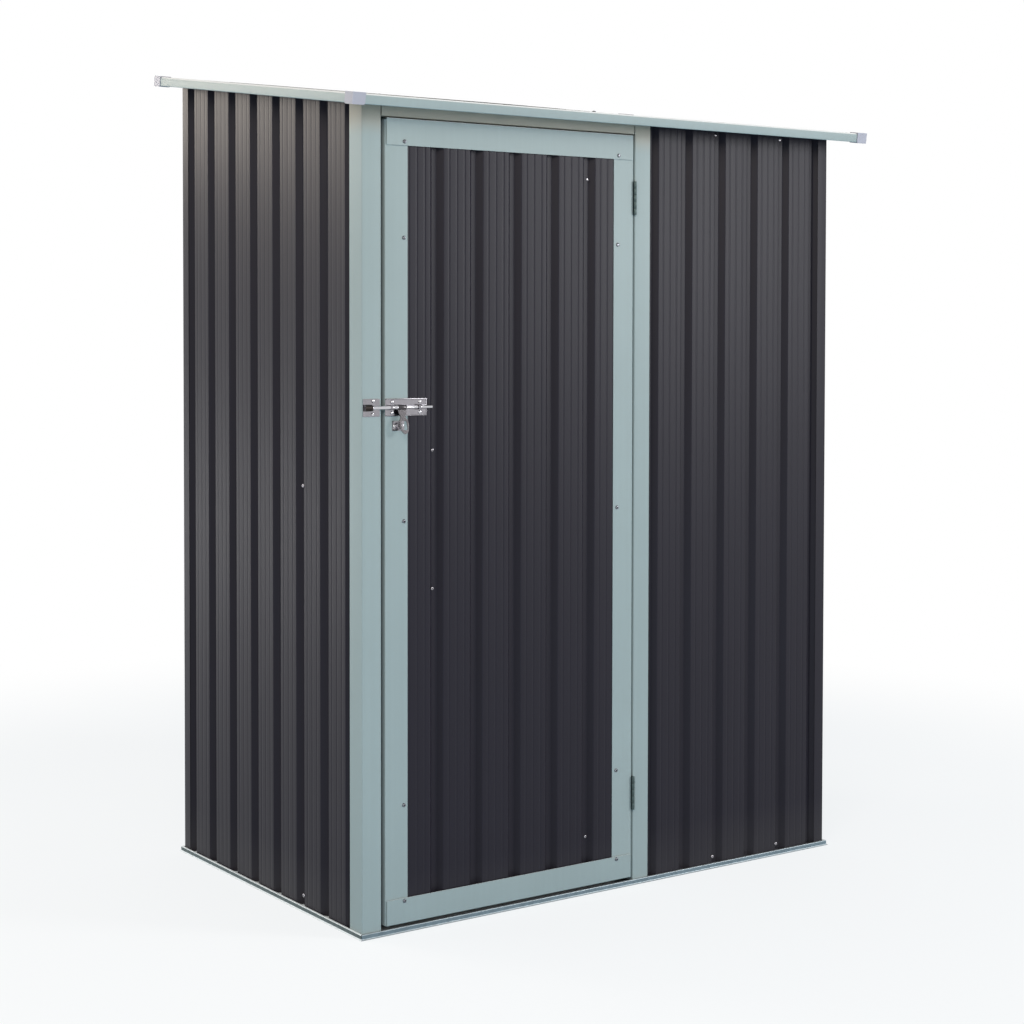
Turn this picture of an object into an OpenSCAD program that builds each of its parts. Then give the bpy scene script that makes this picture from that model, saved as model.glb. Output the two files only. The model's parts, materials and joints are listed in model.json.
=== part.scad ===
// Lean-to metal storage shed: ribbed steel sheets on a light steel frame, with one
// hinged door, a sliding bolt with a padlock hasp, and a roof that falls to the front.
// The front is toward -Y, the high side of the roof is toward +Y, millimetres.

/* [Walls] */
// Width between the outer faces of the side walls
wall_w = 1306; // [1200:1:1500]
// Depth between the outer faces of the front and back walls
wall_d = 794; // [740:1:900]
// Thickness of the ribbed sheet, measured square to the wall
sheet_t = 0.6; // [0.4:0.1:0.9]
// Width of the sheet's fold round a corner
corner_fold = 29; // [20:1:40]
// Height of the screw line of the mid-wall braces
wall_brace_z = 906; // [700:1:1100]

/* [Ribbed sheet] */
// Spacing of the grooves
groove_pitch = 100; // [90:1:120]
// Width of a groove at the face of the sheet
groove_open = 33; // [28:1:40]
// Width of a groove's floor
groove_floor = 13; // [10:1:24]
// Depth of a groove
groove_depth = 12; // [8:0.5:13]
// Width of a stiffening bead on the flat between two grooves
bead_w = 6; // [3:0.5:8]
// Depth of a stiffening bead
bead_depth = 0.5; // [0.3:0.1:1.2]
// Spacing of the beads
bead_gap = 19.5; // [14:0.5:22]
// First groove of the left and right walls, from the front face
side_first_groove = 49; // [40:1:60]
// First groove of the front wall, from the jamb
front_first_groove = 10; // [6:0.5:30]
// First groove of the door sheet, from the door's edge
door_first_groove = 28.5; // [20:0.5:60]

/* [Base rails] */
// Height of a rail
rail_h = 11; // [10:0.5:20]
// How far the rail stands out from the wall
rail_out = 6; // [5:0.5:8]
// How far the rail reaches in under the wall
rail_in = 16; // [14:1:20]
// How far the flared foot spreads beyond the rail's upright
rail_foot = 3; // [2:0.5:8]
// Height of the flared foot
rail_lip = 2; // [1.5:0.5:7]
// Depth of the channel behind the rail's front edge, in which the sheets stand
rail_seat = 5; // [3.5:0.5:7]
// Gap between the rail's front edge and the wall face
rail_clear = 0.3; // [0.2:0.1:0.6]
// Thickness of the rail's steel
rail_t = 1.2; // [0.8:0.1:1.6]
// Gap of each rail end to the corner's mitre line
mitre_gap = 0.9; // [0.3:0.1:1.2]

/* [Front frame] */
// Width of the corner post's front leg
post_front = 45; // [40:1:50]
// Width of the corner post's side leg
post_side = 47; // [40:1:55]
// Thickness of the post, jamb, header and door frame
frame_t = 1; // [0.9:0.1:1.4]
// Width of the jamb beside the hinges
jamb_w = 43; // [36:1:50]
// How far the jamb turns in beside the door
jamb_return = 30; // [26:1:36]
// How far the header turns in over the door
header_return = 20; // [15:1:30]
// Width and depth of the top rails' legs
top_rail_leg = 28; // [20:1:32]
// Width of a wall brace
wall_brace_w = 30; // [24:1:40]
// Depth of a wall brace
wall_brace_d = 12; // [8:1:14]

/* [Roof] */
// Slope of the roof, falling to the front
roof_slope = 8.35; // [6:0.05:10]
// Overhang beside each side wall
roof_over_side = 62; // [50:1:80]
// Overhang in front of the front wall
roof_over_front = 64; // [50:1:72]
// Overhang behind the back wall
roof_over_back = 20.6; // [15:0.1:40]
// Height of an edge trim
trim_h = 21; // [18:0.5:24]
// Width of an edge trim's top flange
trim_top = 24; // [18:1:30]
// Width of an edge trim's bottom flange
trim_bottom = 14; // [10:1:16]
// Thickness of an edge trim
trim_t = 1; // [0.8:0.1:1.4]
// Length of a corner cap's arms
cap_arm = 30; // [28:1:40]
// Radius of the lower corner at the end of a cap's arm
cap_round = 5; // [3:0.5:12]
// Wall of a corner cap in front of the trims
cap_wall = 1.5; // [1:0.1:2]
// Plate of a corner cap over and under the trims
cap_plate = 1.8; // [1.5:0.1:3]
// Side lap of two neighbouring sheets
sheet_lap = 12; // [8:1:15]

/* [Door] */
// Width of the door
door_w = 652; // [600:1:700]
// Height of the door
door_h = 1644.5; // [1500:0.5:1800]
// Gap between the corner post and the door
door_gap_left = 10; // [8:1:12]
// Gap between the door and the hinge jamb
door_gap_right = 5; // [4.5:0.1:6]
// Gap under the door
door_gap_bottom = 6; // [5:0.5:8]
// Gap between the door and the header
door_gap_top = 5.5; // [5:0.5:8]
// Height of the header's face, from the gap over the door to the roof
header_h = 27.4; // [18:0.1:34]
// Width of the door's stiles
stile_w = 55; // [48:1:60]
// Width of the door's top and bottom rails
door_rail_w = 52; // [46:1:58]
// Depth of the door frame's edge
door_edge = 20; // [18:1:24]
// How far the rails stop short of the stile's outer edge
rail_inset = 3; // [2:0.5:5]
// Width of a diagonal brace
door_brace_w = 30; // [24:1:34]
// Depth of a diagonal brace
door_brace_d = 11; // [8:1:13]
// Height of a diagonal brace's inner end above or below the door's middle
door_brace_start = 52; // [46:1:60]
// Angle of the diagonal braces from level
door_brace_angle = 54.7; // [52:0.1:56]

/* [Hinges] */
// Length of a hinge
hinge_l = 74; // [65:1:90]
// Upper end of the upper hinge, below the top of the door
hinge_upper_drop = 98.5; // [80:0.5:200]
// Lower end of the lower hinge, above the bottom of the door
hinge_lower_rise = 151; // [80:0.5:200]
// Radius of a knuckle
knuckle_r = 3.6; // [3.4:0.1:5]
// Radius of the hinge pin
pin_r = 2; // [1.5:0.1:2.5]
// Running clearance round the hinge pin
pin_clear = 0.2; // [0.1:0.05:0.3]
// Gap between neighbouring knuckles
knuckle_gap = 0.4; // [0.3:0.1:0.6]
// Width of a leaf behind the face
leaf_w = 22; // [18:1:24]
// Thickness of a leaf
leaf_t = 1.2; // [0.9:0.1:1.4]
// Distance of the hinge line in front of the wall
hinge_out = 3.1; // [3:0.1:6.5]

/* [Bolt] */
// Height of the bolt's centre line
bolt_z = 1078; // [1000:1:1150]
// Distance of the bolt's centre line in front of the wall
bolt_out = 7; // [6.8:0.1:8.5]
// Radius of the sliding rod
rod_r = 3.6; // [3:0.1:3.8]
// Length of the sliding rod
rod_l = 143; // [135:1:155]
// Gap between the rod's tip and the keeper's loop when the door is free
rod_tip_gap = 0.8; // [0.5:0.1:1.5]
// Length of the rod's bevelled tip
rod_bevel = 2; // [1:0.5:3]
// Sliding clearance round the rod
rod_clear = 0.3; // [0.2:0.05:0.5]
// Wall of a guide loop
guide_wall = 1.4; // [1:0.1:1.8]
// Length of a guide loop
guide_l = 8; // [6:1:10]
// Length of the bolt's plate
plate_l = 101; // [95:1:110]
// Height of the bolt's plate
plate_h = 36; // [28:1:44]
// Thickness of the plates
plate_t = 1.2; // [0.8:0.1:1.6]
// Centre of the first guide, from the door's edge
guide_1 = 12; // [8:1:14]
// Centre of the second guide, from the door's edge
guide_2 = 80; // [76:1:90]
// Left end of the keeper's plate, from the left face
keeper_x = 2; // [1:0.5:4]
// Length of the keeper's plate
keeper_l = 40; // [34:1:41]
// Height of the keeper's plate
keeper_h = 36; // [32:1:44]
// Length of the keeper's loop
keeper_loop = 15; // [12:1:18]
// Right end of the keeper's loop, from the left face
keeper_loop_x = 21; // [20:1:24]
// Clearance of the rod in the keeper's loop
keeper_clear = 1.2; // [0.8:0.1:1.6]

/* [Hasp] */
// Centre of the hasp, from the door's edge
hasp_at = 35.5; // [34:0.5:38]
// Angle at which the hasp stands off the staple
hasp_tilt = 16; // [15:1:30]
// Length of the hasp's sleeve
sleeve_l = 20; // [16:1:22]
// Wall of the hasp's sleeve
sleeve_wall = 1.3; // [1:0.1:1.5]
// Width of a collar beside the sleeve
collar_w = 1.6; // [1:0.1:2]
// Radius of the collars
collar_r = 4.8; // [4.4:0.1:5]
// End play of the sleeve between the collars
collar_gap = 0.3; // [0.2:0.1:0.5]
// Thickness of the hasp
hasp_t = 1.6; // [1.2:0.1:2]
// Width of the hasp below its sleeve
hasp_neck = 19; // [14:1:20]
// Width of the hasp's waist
hasp_waist = 12; // [10:1:16]
// Where the hasp starts to narrow to its waist, below the bolt's centre line
hasp_shoulder = 9; // [7:0.5:12]
// Middle of the waist, below the bolt's centre line
hasp_waist_at = 20; // [16:1:22]
// Width of the hasp's ring
hasp_ring_w = 22; // [21:0.5:26]
// Upper end of the ring's straight sides, below the bolt's centre line
hasp_ring_at = 30; // [27:1:32]
// Width of the slot in the ring
hasp_slot_w = 14; // [13.5:0.5:15]
// Upper end of the slot, below the bolt's centre line
hasp_slot_top = 28; // [26:1:29]
// Lower end of the slot, below the bolt's centre line
hasp_slot_bottom = 48; // [47:1:50]
// Tip of the hasp, below the bolt's centre line
hasp_tip = 56; // [54:1:60]
// Radius of the slot's corners
hasp_slot_r = 5; // [3:0.5:6]
// Where the ring starts to narrow to its tip, below the bolt's centre line
hasp_taper = 37; // [32:1:42]
// Radius of the staple's bar
staple_bar_r = 1.9; // [1.5:0.1:2]
// Middle of the staple, below the bolt's centre line
staple_drop = 38; // [37:1:39]
// How far the staple stands off the hasp's middle, midway between the free and the shot bolt
staple_shift = 3.7; // [3:0.1:4.5]
// Distance between the centres of the staple's legs
staple_span = 10; // [9:0.5:11]
// How far the staple stands out from the door's face
staple_out = 15; // [13:0.5:15]
// Length of the staple's plate
staple_plate_l = 29; // [26:1:38]
// Height of the staple's plate
staple_plate_h = 20; // [18:1:20]

/* [Hidden] */
$fn = 48;
sheet_dark = "#4b4a4d";
trim_light = "#a7b1b3";
galvanised = "#8f9ba0";
cap_pale = "#c2c2cf";
zinc = "#b9bcc0";

// Roof, worked out in its own frame: u across, v up the slope, w square to the roof
trim_w0 = cap_plate;
trim_w1 = trim_w0 + trim_h;
cap_h = trim_h + 2 * cap_plate;
sheet_deep = groove_depth + sheet_t;
roof_sheet_top = trim_w1 - trim_t;
wall_top_w = roof_sheet_top - sheet_deep - sheet_t;
roof_w = wall_w + 2 * roof_over_side;
roof_run = roof_over_front + wall_d + roof_over_back;
roof_l = roof_run / cos(roof_slope);
roof_front_y = (cap_h * sin(roof_slope) - roof_run) / 2;

// Wall planes
x_left = -wall_w / 2;
x_right = wall_w / 2;
y_front = roof_front_y + roof_over_front;
y_back = y_front + wall_d;
// Face of every sheet, behind the post and the folds
skin = frame_t;
wall_inner = skin + sheet_deep;
// Foot of the walls, on the floor of the base rails' channel
wall_z0 = rail_h - rail_seat;

// Door, with its frame's face level with the post
door_x0 = x_left + post_front + door_gap_left;
door_x1 = door_x0 + door_w;
door_z0 = rail_h + door_gap_bottom;
door_z1 = door_z0 + door_h;
door_mid_z = (door_z0 + door_z1) / 2;
jamb_x0 = door_x1 + door_gap_right;
jamb_x1 = jamb_x0 + jamb_w;
header_z0 = door_z1 + door_gap_top;
header_z1 = header_z0 + header_h;
door_sheet_y = y_front + frame_t;
door_sheet_back = door_sheet_y + sheet_deep;
front_sheet_x0 = jamb_x0 + jamb_w / 3;

// Lower front edge of the roof, from the top of the header
eave_z = header_z1 - roof_over_front * tan(roof_slope) - wall_top_w / cos(roof_slope);

// Hinge line
hinge_x = (door_x1 + jamb_x0) / 2;
hinge_y = y_front - hinge_out;
knuckle_count = 5;
knuckle_l = hinge_l / knuckle_count;
hinge_lower_z = door_z0 + hinge_lower_rise;
hinge_upper_z = door_z1 - hinge_upper_drop - hinge_l;
leaf_tuck = knuckle_r + 1 - hinge_out;

// Bolt line
bolt_y = y_front - bolt_out;
guide_bore_r = rod_r + rod_clear;
guide_r = guide_bore_r + guide_wall;
keeper_bore_r = rod_r + keeper_clear;
keeper_r = keeper_bore_r + guide_wall;
rod_x0 = x_left + keeper_loop_x + rod_tip_gap;
hasp_x = door_x0 + hasp_at;
sleeve_r = guide_bore_r + sleeve_wall;

// Grooves of the back wall and the roof lie evenly about the middle lap
back_first_groove = wall_w / 2 - groove_pitch * (floor(wall_w / 2 / groove_pitch) - 0.5);
roof_first_groove = roof_w / 2 - groove_pitch * (floor(roof_w / 2 / groove_pitch) - 0.5);

// Room kept above and beside shapes that cut others, and lengths that reach past the roof
over = 1;
tall = eave_z + wall_d;

// Height of a plane parallel to the roof at depth y, a distance w above the eave
function roof_z(y, w) = eave_z + (y - roof_front_y) * tan(roof_slope) + w / cos(roof_slope);

// Section of a ribbed sheet: x runs across the sheet, y runs from its face to its back
function groove(c) = [
    [c - groove_open / 2, 0],
    [c - groove_floor / 2, groove_depth],
    [c + groove_floor / 2, groove_depth],
    [c + groove_open / 2, 0]
];

function bead(c) = [[c - bead_w / 2, 0], [c, bead_depth], [c + bead_w / 2, 0]];

// Three beads on the flat whose middle is m, where they fit between two limits
function beads(m, low, high) = [
    for (k = [-1:1])
        let (c = m + k * bead_gap)
            if (c - bead_w > low && c + bead_w < high) each bead(c)
];

// Grooves that lie whole between the two edges of a sheet
function grooves_within(first, low, high) = [
    for (k = [0:floor(wall_w / groove_pitch) + 2])
        let (c = first + k * groove_pitch)
            if (c - groove_open / 2 >= low && c + groove_open / 2 <= high) c
];

function sheet_line(first, low, high) =
    let (centres = grooves_within(first, low, high))
        concat(
            [[low, 0]],
            beads(centres[0] - groove_pitch / 2, low, centres[0] - groove_open / 2),
            [for (c = centres) each concat(groove(c), beads(c + groove_pitch / 2, c, high - sheet_lap))],
            [[high, 0]]
        );

module ribbed_section(first, low, high) {
    line = sheet_line(first, low, high);
    back = [for (i = [len(line) - 1:-1:0]) line[i] + [0, sheet_t]];
    polygon(concat(line, back));
}

// Places its children in the roof's own frame
module on_roof() {
    translate([0, roof_front_y, eave_z])
        rotate([roof_slope, 0, 0])
            children();
}

// Everything above the underside of the roof sheets
module above_roof() {
    on_roof()
        translate([-roof_w, -roof_l, wall_top_w])
            cube([2 * roof_w, 3 * roof_l, 2 * tall]);
}

// Angle section with one leg along x and one along y, both from the origin
module angle_section(leg_x, leg_y, t) {
    polygon([[0, 0], [leg_x, 0], [leg_x, t], [t, t], [t, leg_y], [0, leg_y]]);
}

// Shallow channel: web of width w on y = 0, flanges of depth d toward +y
module channel_section(w, d, t) {
    polygon([
        [-w / 2, 0], [w / 2, 0], [w / 2, d], [w / 2 - t, d],
        [w / 2 - t, t], [-w / 2 + t, t], [-w / 2 + t, d], [-w / 2, d]
    ]);
}

// Base rail section: x points outward from the wall face, y points up. The sheets stand in
// a channel, whose front edge is folded down to an upright that flares out on the ground.
module rail_section() {
    reach = rail_out + rail_foot;
    edge = rail_t * norm([rail_foot, rail_lip]) / rail_lip;
    inner_lip = rail_lip * (1 - (edge - rail_t) / rail_foot);
    polygon([
        [-rail_in, 0], [-rail_in, wall_z0], [rail_clear, wall_z0], [rail_clear, rail_h],
        [rail_out, rail_h], [rail_out, rail_lip], [reach, 0], [reach - edge, 0],
        [rail_out - rail_t, inner_lip], [rail_out - rail_t, rail_h - rail_t],
        [rail_clear + rail_t, rail_h - rail_t], [rail_clear + rail_t, wall_z0 - rail_t],
        [-rail_in + rail_t, wall_z0 - rail_t], [-rail_in + rail_t, 0]
    ]);
}

// Rail of a wall of length l, centred on the origin, facing -Y, with mitred ends
module base_rail(l) {
    reach = rail_out + rail_foot;
    color(galvanised)
        difference() {
            translate([-l / 2 - reach, 0, 0])
                rotate([90, 0, 90])
                    linear_extrude(l + 2 * reach)
                        mirror([1, 0, 0])
                            rail_section();
            for (side = [-1, 1])
                translate([side * (l / 2 - mitre_gap), 0, 0])
                    rotate([0, 0, side > 0 ? 45 : 135])
                        translate([0, -l / 2, -over])
                            cube([l, l, rail_h + 2 * over]);
        }
}

module base_rail_front() {
    translate([0, y_front, 0])
        base_rail(wall_w);
}

module base_rail_back() {
    translate([0, y_back, 0])
        rotate([0, 0, 180])
            base_rail(wall_w);
}

module base_rail_left() {
    translate([x_left, (y_front + y_back) / 2, 0])
        rotate([0, 0, -90])
            base_rail(wall_d);
}

module base_rail_right() {
    translate([x_right, (y_front + y_back) / 2, 0])
        rotate([0, 0, 90])
            base_rail(wall_d);
}

// Front-left corner post, an angle that covers the edge of the left wall
module corner_post() {
    color(trim_light)
        difference() {
            translate([x_left, y_front, wall_z0])
                linear_extrude(tall)
                    angle_section(post_front, post_side, frame_t);
            above_roof();
        }
}

// Jamb on the hinge side, turned in beside the door below the header
module door_jamb() {
    color(trim_light)
        difference() {
            union() {
                translate([jamb_x0, y_front, wall_z0])
                    cube([jamb_w, frame_t, tall]);
                translate([jamb_x0, y_front, wall_z0])
                    cube([frame_t, jamb_return, header_z0 - wall_z0]);
            }
            above_roof();
        }
}

// Header over the door, tucked behind the post and the jamb
module door_header() {
    x0 = x_left + wall_inner;
    color(trim_light)
        difference() {
            union() {
                translate([x0, y_front + frame_t, header_z0])
                    cube([front_sheet_x0 - x0, frame_t, tall]);
                translate([x0, y_front + frame_t, header_z0])
                    cube([front_sheet_x0 - x0, header_return, frame_t]);
            }
            above_roof();
        }
}

module left_wall_sheet() {
    color(sheet_dark)
        difference() {
            translate([x_left + skin, y_front, wall_z0])
                mirror([1, -1, 0])
                    linear_extrude(tall)
                        ribbed_section(side_first_groove, skin, wall_d - skin - sheet_t);
            above_roof();
        }
}

// Right wall, whose front edge folds round onto the front wall
module right_wall_sheet() {
    color(sheet_dark)
        difference() {
            union() {
                translate([x_right - skin, y_front, wall_z0])
                    rotate([0, 0, 90])
                        linear_extrude(tall)
                            ribbed_section(side_first_groove, skin - sheet_t, wall_d - skin - 2 * sheet_t);
                translate([x_right - skin - corner_fold, y_front + skin - sheet_t, wall_z0])
                    cube([corner_fold, sheet_t, tall]);
            }
            above_roof();
        }
}

module front_wall_sheet() {
    color(sheet_dark)
        difference() {
            translate([x_left, y_front + skin, wall_z0])
                linear_extrude(tall)
                    ribbed_section(
                        jamb_x1 + front_first_groove - x_left,
                        front_sheet_x0 - x_left,
                        wall_w - wall_inner
                    );
            above_roof();
        }
}

// Back wall in two sheets that lap at the middle, each folding round its corner
module back_sheet(low, high, fold_x, set_in) {
    color(sheet_dark)
        difference() {
            union() {
                translate([x_left, y_back - skin - set_in, wall_z0])
                    mirror([0, 1, 0])
                        linear_extrude(tall)
                            ribbed_section(back_first_groove, low, high);
                translate([fold_x, y_back - skin - set_in - corner_fold, wall_z0])
                    cube([sheet_t, corner_fold, tall]);
            }
            above_roof();
        }
}

module back_wall_sheet_left() {
    back_sheet(skin - sheet_t, wall_w / 2 + sheet_lap, x_left + skin - sheet_t, 0);
}

module back_wall_sheet_right() {
    back_sheet(wall_w / 2, wall_w - skin + sheet_t, x_right - skin, sheet_t);
}

// Angle under the front edge of the roof, behind the front wall
module front_top_rail() {
    x0 = front_sheet_x0;
    y0 = y_front + wall_inner;
    z1 = roof_z(y0, wall_top_w);
    color(galvanised)
        translate([x0, y0, z1])
            rotate([90, 90, 90])
                linear_extrude(x_right - wall_inner - x0)
                    angle_section(top_rail_leg, top_rail_leg, frame_t);
}

module back_top_rail() {
    y1 = y_back - wall_inner - sheet_t;
    z1 = roof_z(y1 - top_rail_leg, wall_top_w);
    color(galvanised)
        translate([x_right - wall_inner, y1, z1])
            rotate([90, 90, -90])
                linear_extrude(wall_w - 2 * wall_inner)
                    angle_section(top_rail_leg, top_rail_leg, frame_t);
}

// Sloping angle along the top of a side wall; side is -1 left, 1 right
module side_top_rail(side) {
    v0 = (y_front + wall_inner + top_rail_leg + over - roof_front_y) / cos(roof_slope);
    v1 = (y_back - wall_inner - top_rail_leg - over - sheet_t - roof_front_y) / cos(roof_slope);
    color(galvanised)
        on_roof()
            translate([side * (wall_w / 2 - wall_inner), v0, wall_top_w])
                mirror([side > 0 ? 1 : 0, 0, 0])
                    rotate([-90, 0, 0])
                        linear_extrude(v1 - v0)
                            angle_section(top_rail_leg, top_rail_leg, frame_t);
}

module left_top_rail() {
    side_top_rail(-1);
}

module right_top_rail() {
    side_top_rail(1);
}

// Level channel across the inside of a wall
module wall_brace(l) {
    color(galvanised)
        rotate([0, 90, 0])
            linear_extrude(l)
                channel_section(wall_brace_w, wall_brace_d, frame_t);
}

module left_wall_brace() {
    translate([x_left + wall_inner, y_back - wall_inner - sheet_t, wall_brace_z])
        rotate([0, 0, -90])
            wall_brace(wall_d - 2 * wall_inner - sheet_t);
}

module right_wall_brace() {
    translate([x_right - wall_inner, y_front + wall_inner, wall_brace_z])
        rotate([0, 0, 90])
            wall_brace(wall_d - 2 * wall_inner - sheet_t);
}

module back_wall_brace() {
    l = wall_w - 2 * (wall_inner + wall_brace_d);
    translate([l / 2, y_back - wall_inner - sheet_t, wall_brace_z])
        rotate([0, 0, 180])
            wall_brace(l);
}

// Roof sheets, ribs down the slope, the right one lapped under the left one
module roof_sheet(low, high, set_in) {
    inset = cap_wall + trim_t;
    color(sheet_dark)
        on_roof()
            translate([-roof_w / 2, inset, roof_sheet_top - set_in])
                rotate([-90, 0, 0])
                    linear_extrude(roof_l - 2 * inset)
                        ribbed_section(roof_first_groove, low, high);
}

module roof_sheet_left() {
    roof_sheet(cap_wall + trim_t, roof_w / 2 + sheet_lap, 0);
}

module roof_sheet_right() {
    roof_sheet(roof_w / 2, roof_w - cap_wall - trim_t, sheet_t);
}

// Edge trim of length l along +X, its face on y = 0, between two corner caps
module edge_trim(l) {
    color(trim_light)
        translate([0, 0, trim_w0])
            rotate([90, 0, 90])
                linear_extrude(l)
                    polygon([
                        [0, 0], [trim_bottom, 0], [trim_bottom, trim_t], [trim_t, trim_t],
                        [trim_t, trim_h - trim_t], [trim_top, trim_h - trim_t],
                        [trim_top, trim_h], [0, trim_h]
                    ]);
}

module roof_trim_front() {
    on_roof()
        translate([-roof_w / 2 + cap_wall, cap_wall, 0])
            edge_trim(roof_w - 2 * cap_wall);
}

module roof_trim_back() {
    on_roof()
        translate([roof_w / 2 - cap_wall, roof_l - cap_wall, 0])
            rotate([0, 0, 180])
                edge_trim(roof_w - 2 * cap_wall);
}

module roof_trim_left() {
    on_roof()
        translate([-roof_w / 2 + cap_wall, roof_l - cap_wall - trim_top, 0])
            rotate([0, 0, -90])
                edge_trim(roof_l - 2 * (cap_wall + trim_top));
}

module roof_trim_right() {
    on_roof()
        translate([roof_w / 2 - cap_wall, cap_wall + trim_top, 0])
            rotate([0, 0, 90])
                edge_trim(roof_l - 2 * (cap_wall + trim_top));
}

// Side view of a cap's arm, rounded at its lower end
module cap_side() {
    union() {
        square([cap_arm - cap_round, cap_h]);
        translate([0, cap_round])
            square([cap_arm, cap_h - cap_round]);
        translate([cap_arm - cap_round, cap_round])
            circle(r = cap_round);
    }
}

// Moulded corner cap, its outer corner on the origin, arms along +x and +y
module corner_cap() {
    inner = cap_wall + trim_top;
    color(cap_pale)
        difference() {
            intersection() {
                translate([0, cap_arm, 0])
                    rotate([90, 0, 0])
                        linear_extrude(cap_arm)
                            cap_side();
                rotate([90, 0, 90])
                    linear_extrude(cap_arm)
                        cap_side();
            }
            translate([cap_wall, cap_wall, cap_plate])
                cube([cap_arm, cap_arm, trim_h]);
            translate([inner, inner, -over])
                cube([cap_arm, cap_arm, cap_h + 2 * over]);
        }
}

module roof_cap_front_left() {
    on_roof()
        translate([-roof_w / 2, 0, 0])
            corner_cap();
}

module roof_cap_front_right() {
    on_roof()
        translate([roof_w / 2, 0, 0])
            rotate([0, 0, 90])
                corner_cap();
}

module roof_cap_back_left() {
    on_roof()
        translate([-roof_w / 2, roof_l, 0])
            rotate([0, 0, -90])
                corner_cap();
}

module roof_cap_back_right() {
    on_roof()
        translate([roof_w / 2, roof_l, 0])
            rotate([0, 0, 180])
                corner_cap();
}

// One leaf of a butt hinge, standing on z = 0 with its hinge line on the Z axis.
// The leaf lies beside the line on the side given, and has every other knuckle.
module hinge_leaf(side, first) {
    plate_x = door_gap_right / 2 - leaf_t;
    for (k = [first:2:knuckle_count - 1]) {
        z = k * knuckle_l + knuckle_gap / 2;
        l = knuckle_l - knuckle_gap;
        translate([0, 0, z])
            cylinder(r = knuckle_r, h = l);
        translate([side > 0 ? plate_x : -plate_x - leaf_t, 0, z])
            cube([leaf_t, hinge_out + leaf_tuck + over, l]);
    }
    translate([side > 0 ? plate_x : -plate_x - leaf_t, hinge_out + leaf_tuck, 0])
        cube([leaf_t, leaf_w, hinge_l]);
}

// Leaves on the jamb, each with its pin
module frame_hinge_leaves() {
    color(zinc)
        for (z = [hinge_lower_z, hinge_upper_z])
            translate([hinge_x, hinge_y, z]) {
                hinge_leaf(1, 0);
                cylinder(r = pin_r, h = hinge_l);
            }
}

// Leaves on the door, bored for the pins
module door_hinge_leaves() {
    color(zinc)
        for (z = [hinge_lower_z, hinge_upper_z])
            translate([hinge_x, hinge_y, z])
                difference() {
                    hinge_leaf(-1, 1);
                    translate([0, 0, -over])
                        cylinder(r = pin_r + pin_clear, h = hinge_l + 2 * over);
                }
}

module door_sheet() {
    low = door_x0 + frame_t - x_left;
    high = door_x1 - frame_t - x_left;
    color(sheet_dark)
        translate([x_left, door_sheet_y, door_z0 + frame_t])
            linear_extrude(door_h - 2 * frame_t)
                ribbed_section(door_x0 + door_first_groove - x_left, low, high);
}

// Stile: face on the front, edge turned in on the outer side
module door_stile_left() {
    color(trim_light)
        translate([door_x0, y_front, door_z0 + frame_t])
            linear_extrude(door_h - 2 * frame_t)
                angle_section(stile_w, door_edge, frame_t);
}

module door_stile_right() {
    color(trim_light)
        translate([door_x1, y_front, door_z0 + frame_t])
            linear_extrude(door_h - 2 * frame_t)
                mirror([1, 0, 0])
                    angle_section(stile_w, door_edge, frame_t);
}

// Rail lapped over the stiles' faces, with its edge turned in
module door_rail() {
    color(trim_light)
        rotate([90, 0, 90])
            linear_extrude(door_w - 2 * rail_inset)
                angle_section(door_edge, door_rail_w, frame_t);
}

module door_rail_bottom() {
    translate([door_x0 + rail_inset, y_front - frame_t, door_z0])
        door_rail();
}

module door_rail_top() {
    translate([door_x0 + rail_inset, y_front - frame_t, door_z1])
        mirror([0, 0, 1])
            door_rail();
}

// Diagonal brace from the middle of the left stile up to the far end of a rail
module door_brace() {
    reach = door_h / 2 - frame_t - door_rail_w / 2 - door_brace_start;
    color(galvanised)
        rotate([0, 90 - door_brace_angle, 0])
            linear_extrude(reach / sin(door_brace_angle))
                channel_section(door_brace_w, door_brace_d, frame_t);
}

module door_brace_upper() {
    translate([door_x0 + stile_w - door_edge / 2, door_sheet_back, door_mid_z + door_brace_start])
        door_brace();
}

module door_brace_lower() {
    translate([door_x0 + stile_w - door_edge / 2, door_sheet_back, door_mid_z - door_brace_start])
        mirror([0, 0, 1])
            door_brace();
}

// Loop that holds the rod: a round eye on a block that stands on a plate
module rod_loop(outer_r, bore_r, l) {
    difference() {
        union() {
            rotate([0, 90, 0])
                cylinder(r = outer_r, h = l);
            translate([0, 0, -outer_r])
                cube([l, bolt_out - plate_t / 2, 2 * outer_r]);
        }
        translate([-over, 0, 0])
            rotate([0, 90, 0])
                cylinder(r = bore_r, h = l + 2 * over);
    }
}

// Plate on the door with two guides for the rod
module bolt_plate() {
    color(zinc) {
        translate([door_x0, y_front - plate_t, bolt_z - plate_h / 2])
            cube([plate_l, plate_t, plate_h]);
        for (at = [guide_1, guide_2])
            translate([door_x0 + at - guide_l / 2, bolt_y, bolt_z])
                rod_loop(guide_r, guide_bore_r, guide_l);
    }
}

// Keeper on the corner post
module bolt_keeper() {
    color(zinc) {
        translate([x_left + keeper_x, y_front - plate_t, bolt_z - keeper_h / 2])
            cube([keeper_l, plate_t, keeper_h]);
        translate([x_left + keeper_loop_x - keeper_loop, bolt_y, bolt_z])
            rod_loop(keeper_r, keeper_bore_r, keeper_loop);
    }
}

// Sliding rod with a bevelled tip and two collars that carry the hasp
module bolt_rod() {
    color(zinc)
        translate([0, bolt_y, bolt_z])
            rotate([0, 90, 0]) {
                translate([0, 0, rod_x0 + rod_bevel])
                    cylinder(r = rod_r, h = rod_l - rod_bevel);
                translate([0, 0, rod_x0])
                    cylinder(r1 = rod_r - rod_bevel / 2, r2 = rod_r, h = rod_bevel);
                for (x = [-sleeve_l / 2 - collar_gap - collar_w, sleeve_l / 2 + collar_gap])
                    translate([0, 0, hasp_x + x])
                        cylinder(r = collar_r, h = collar_w);
            }
}

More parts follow.
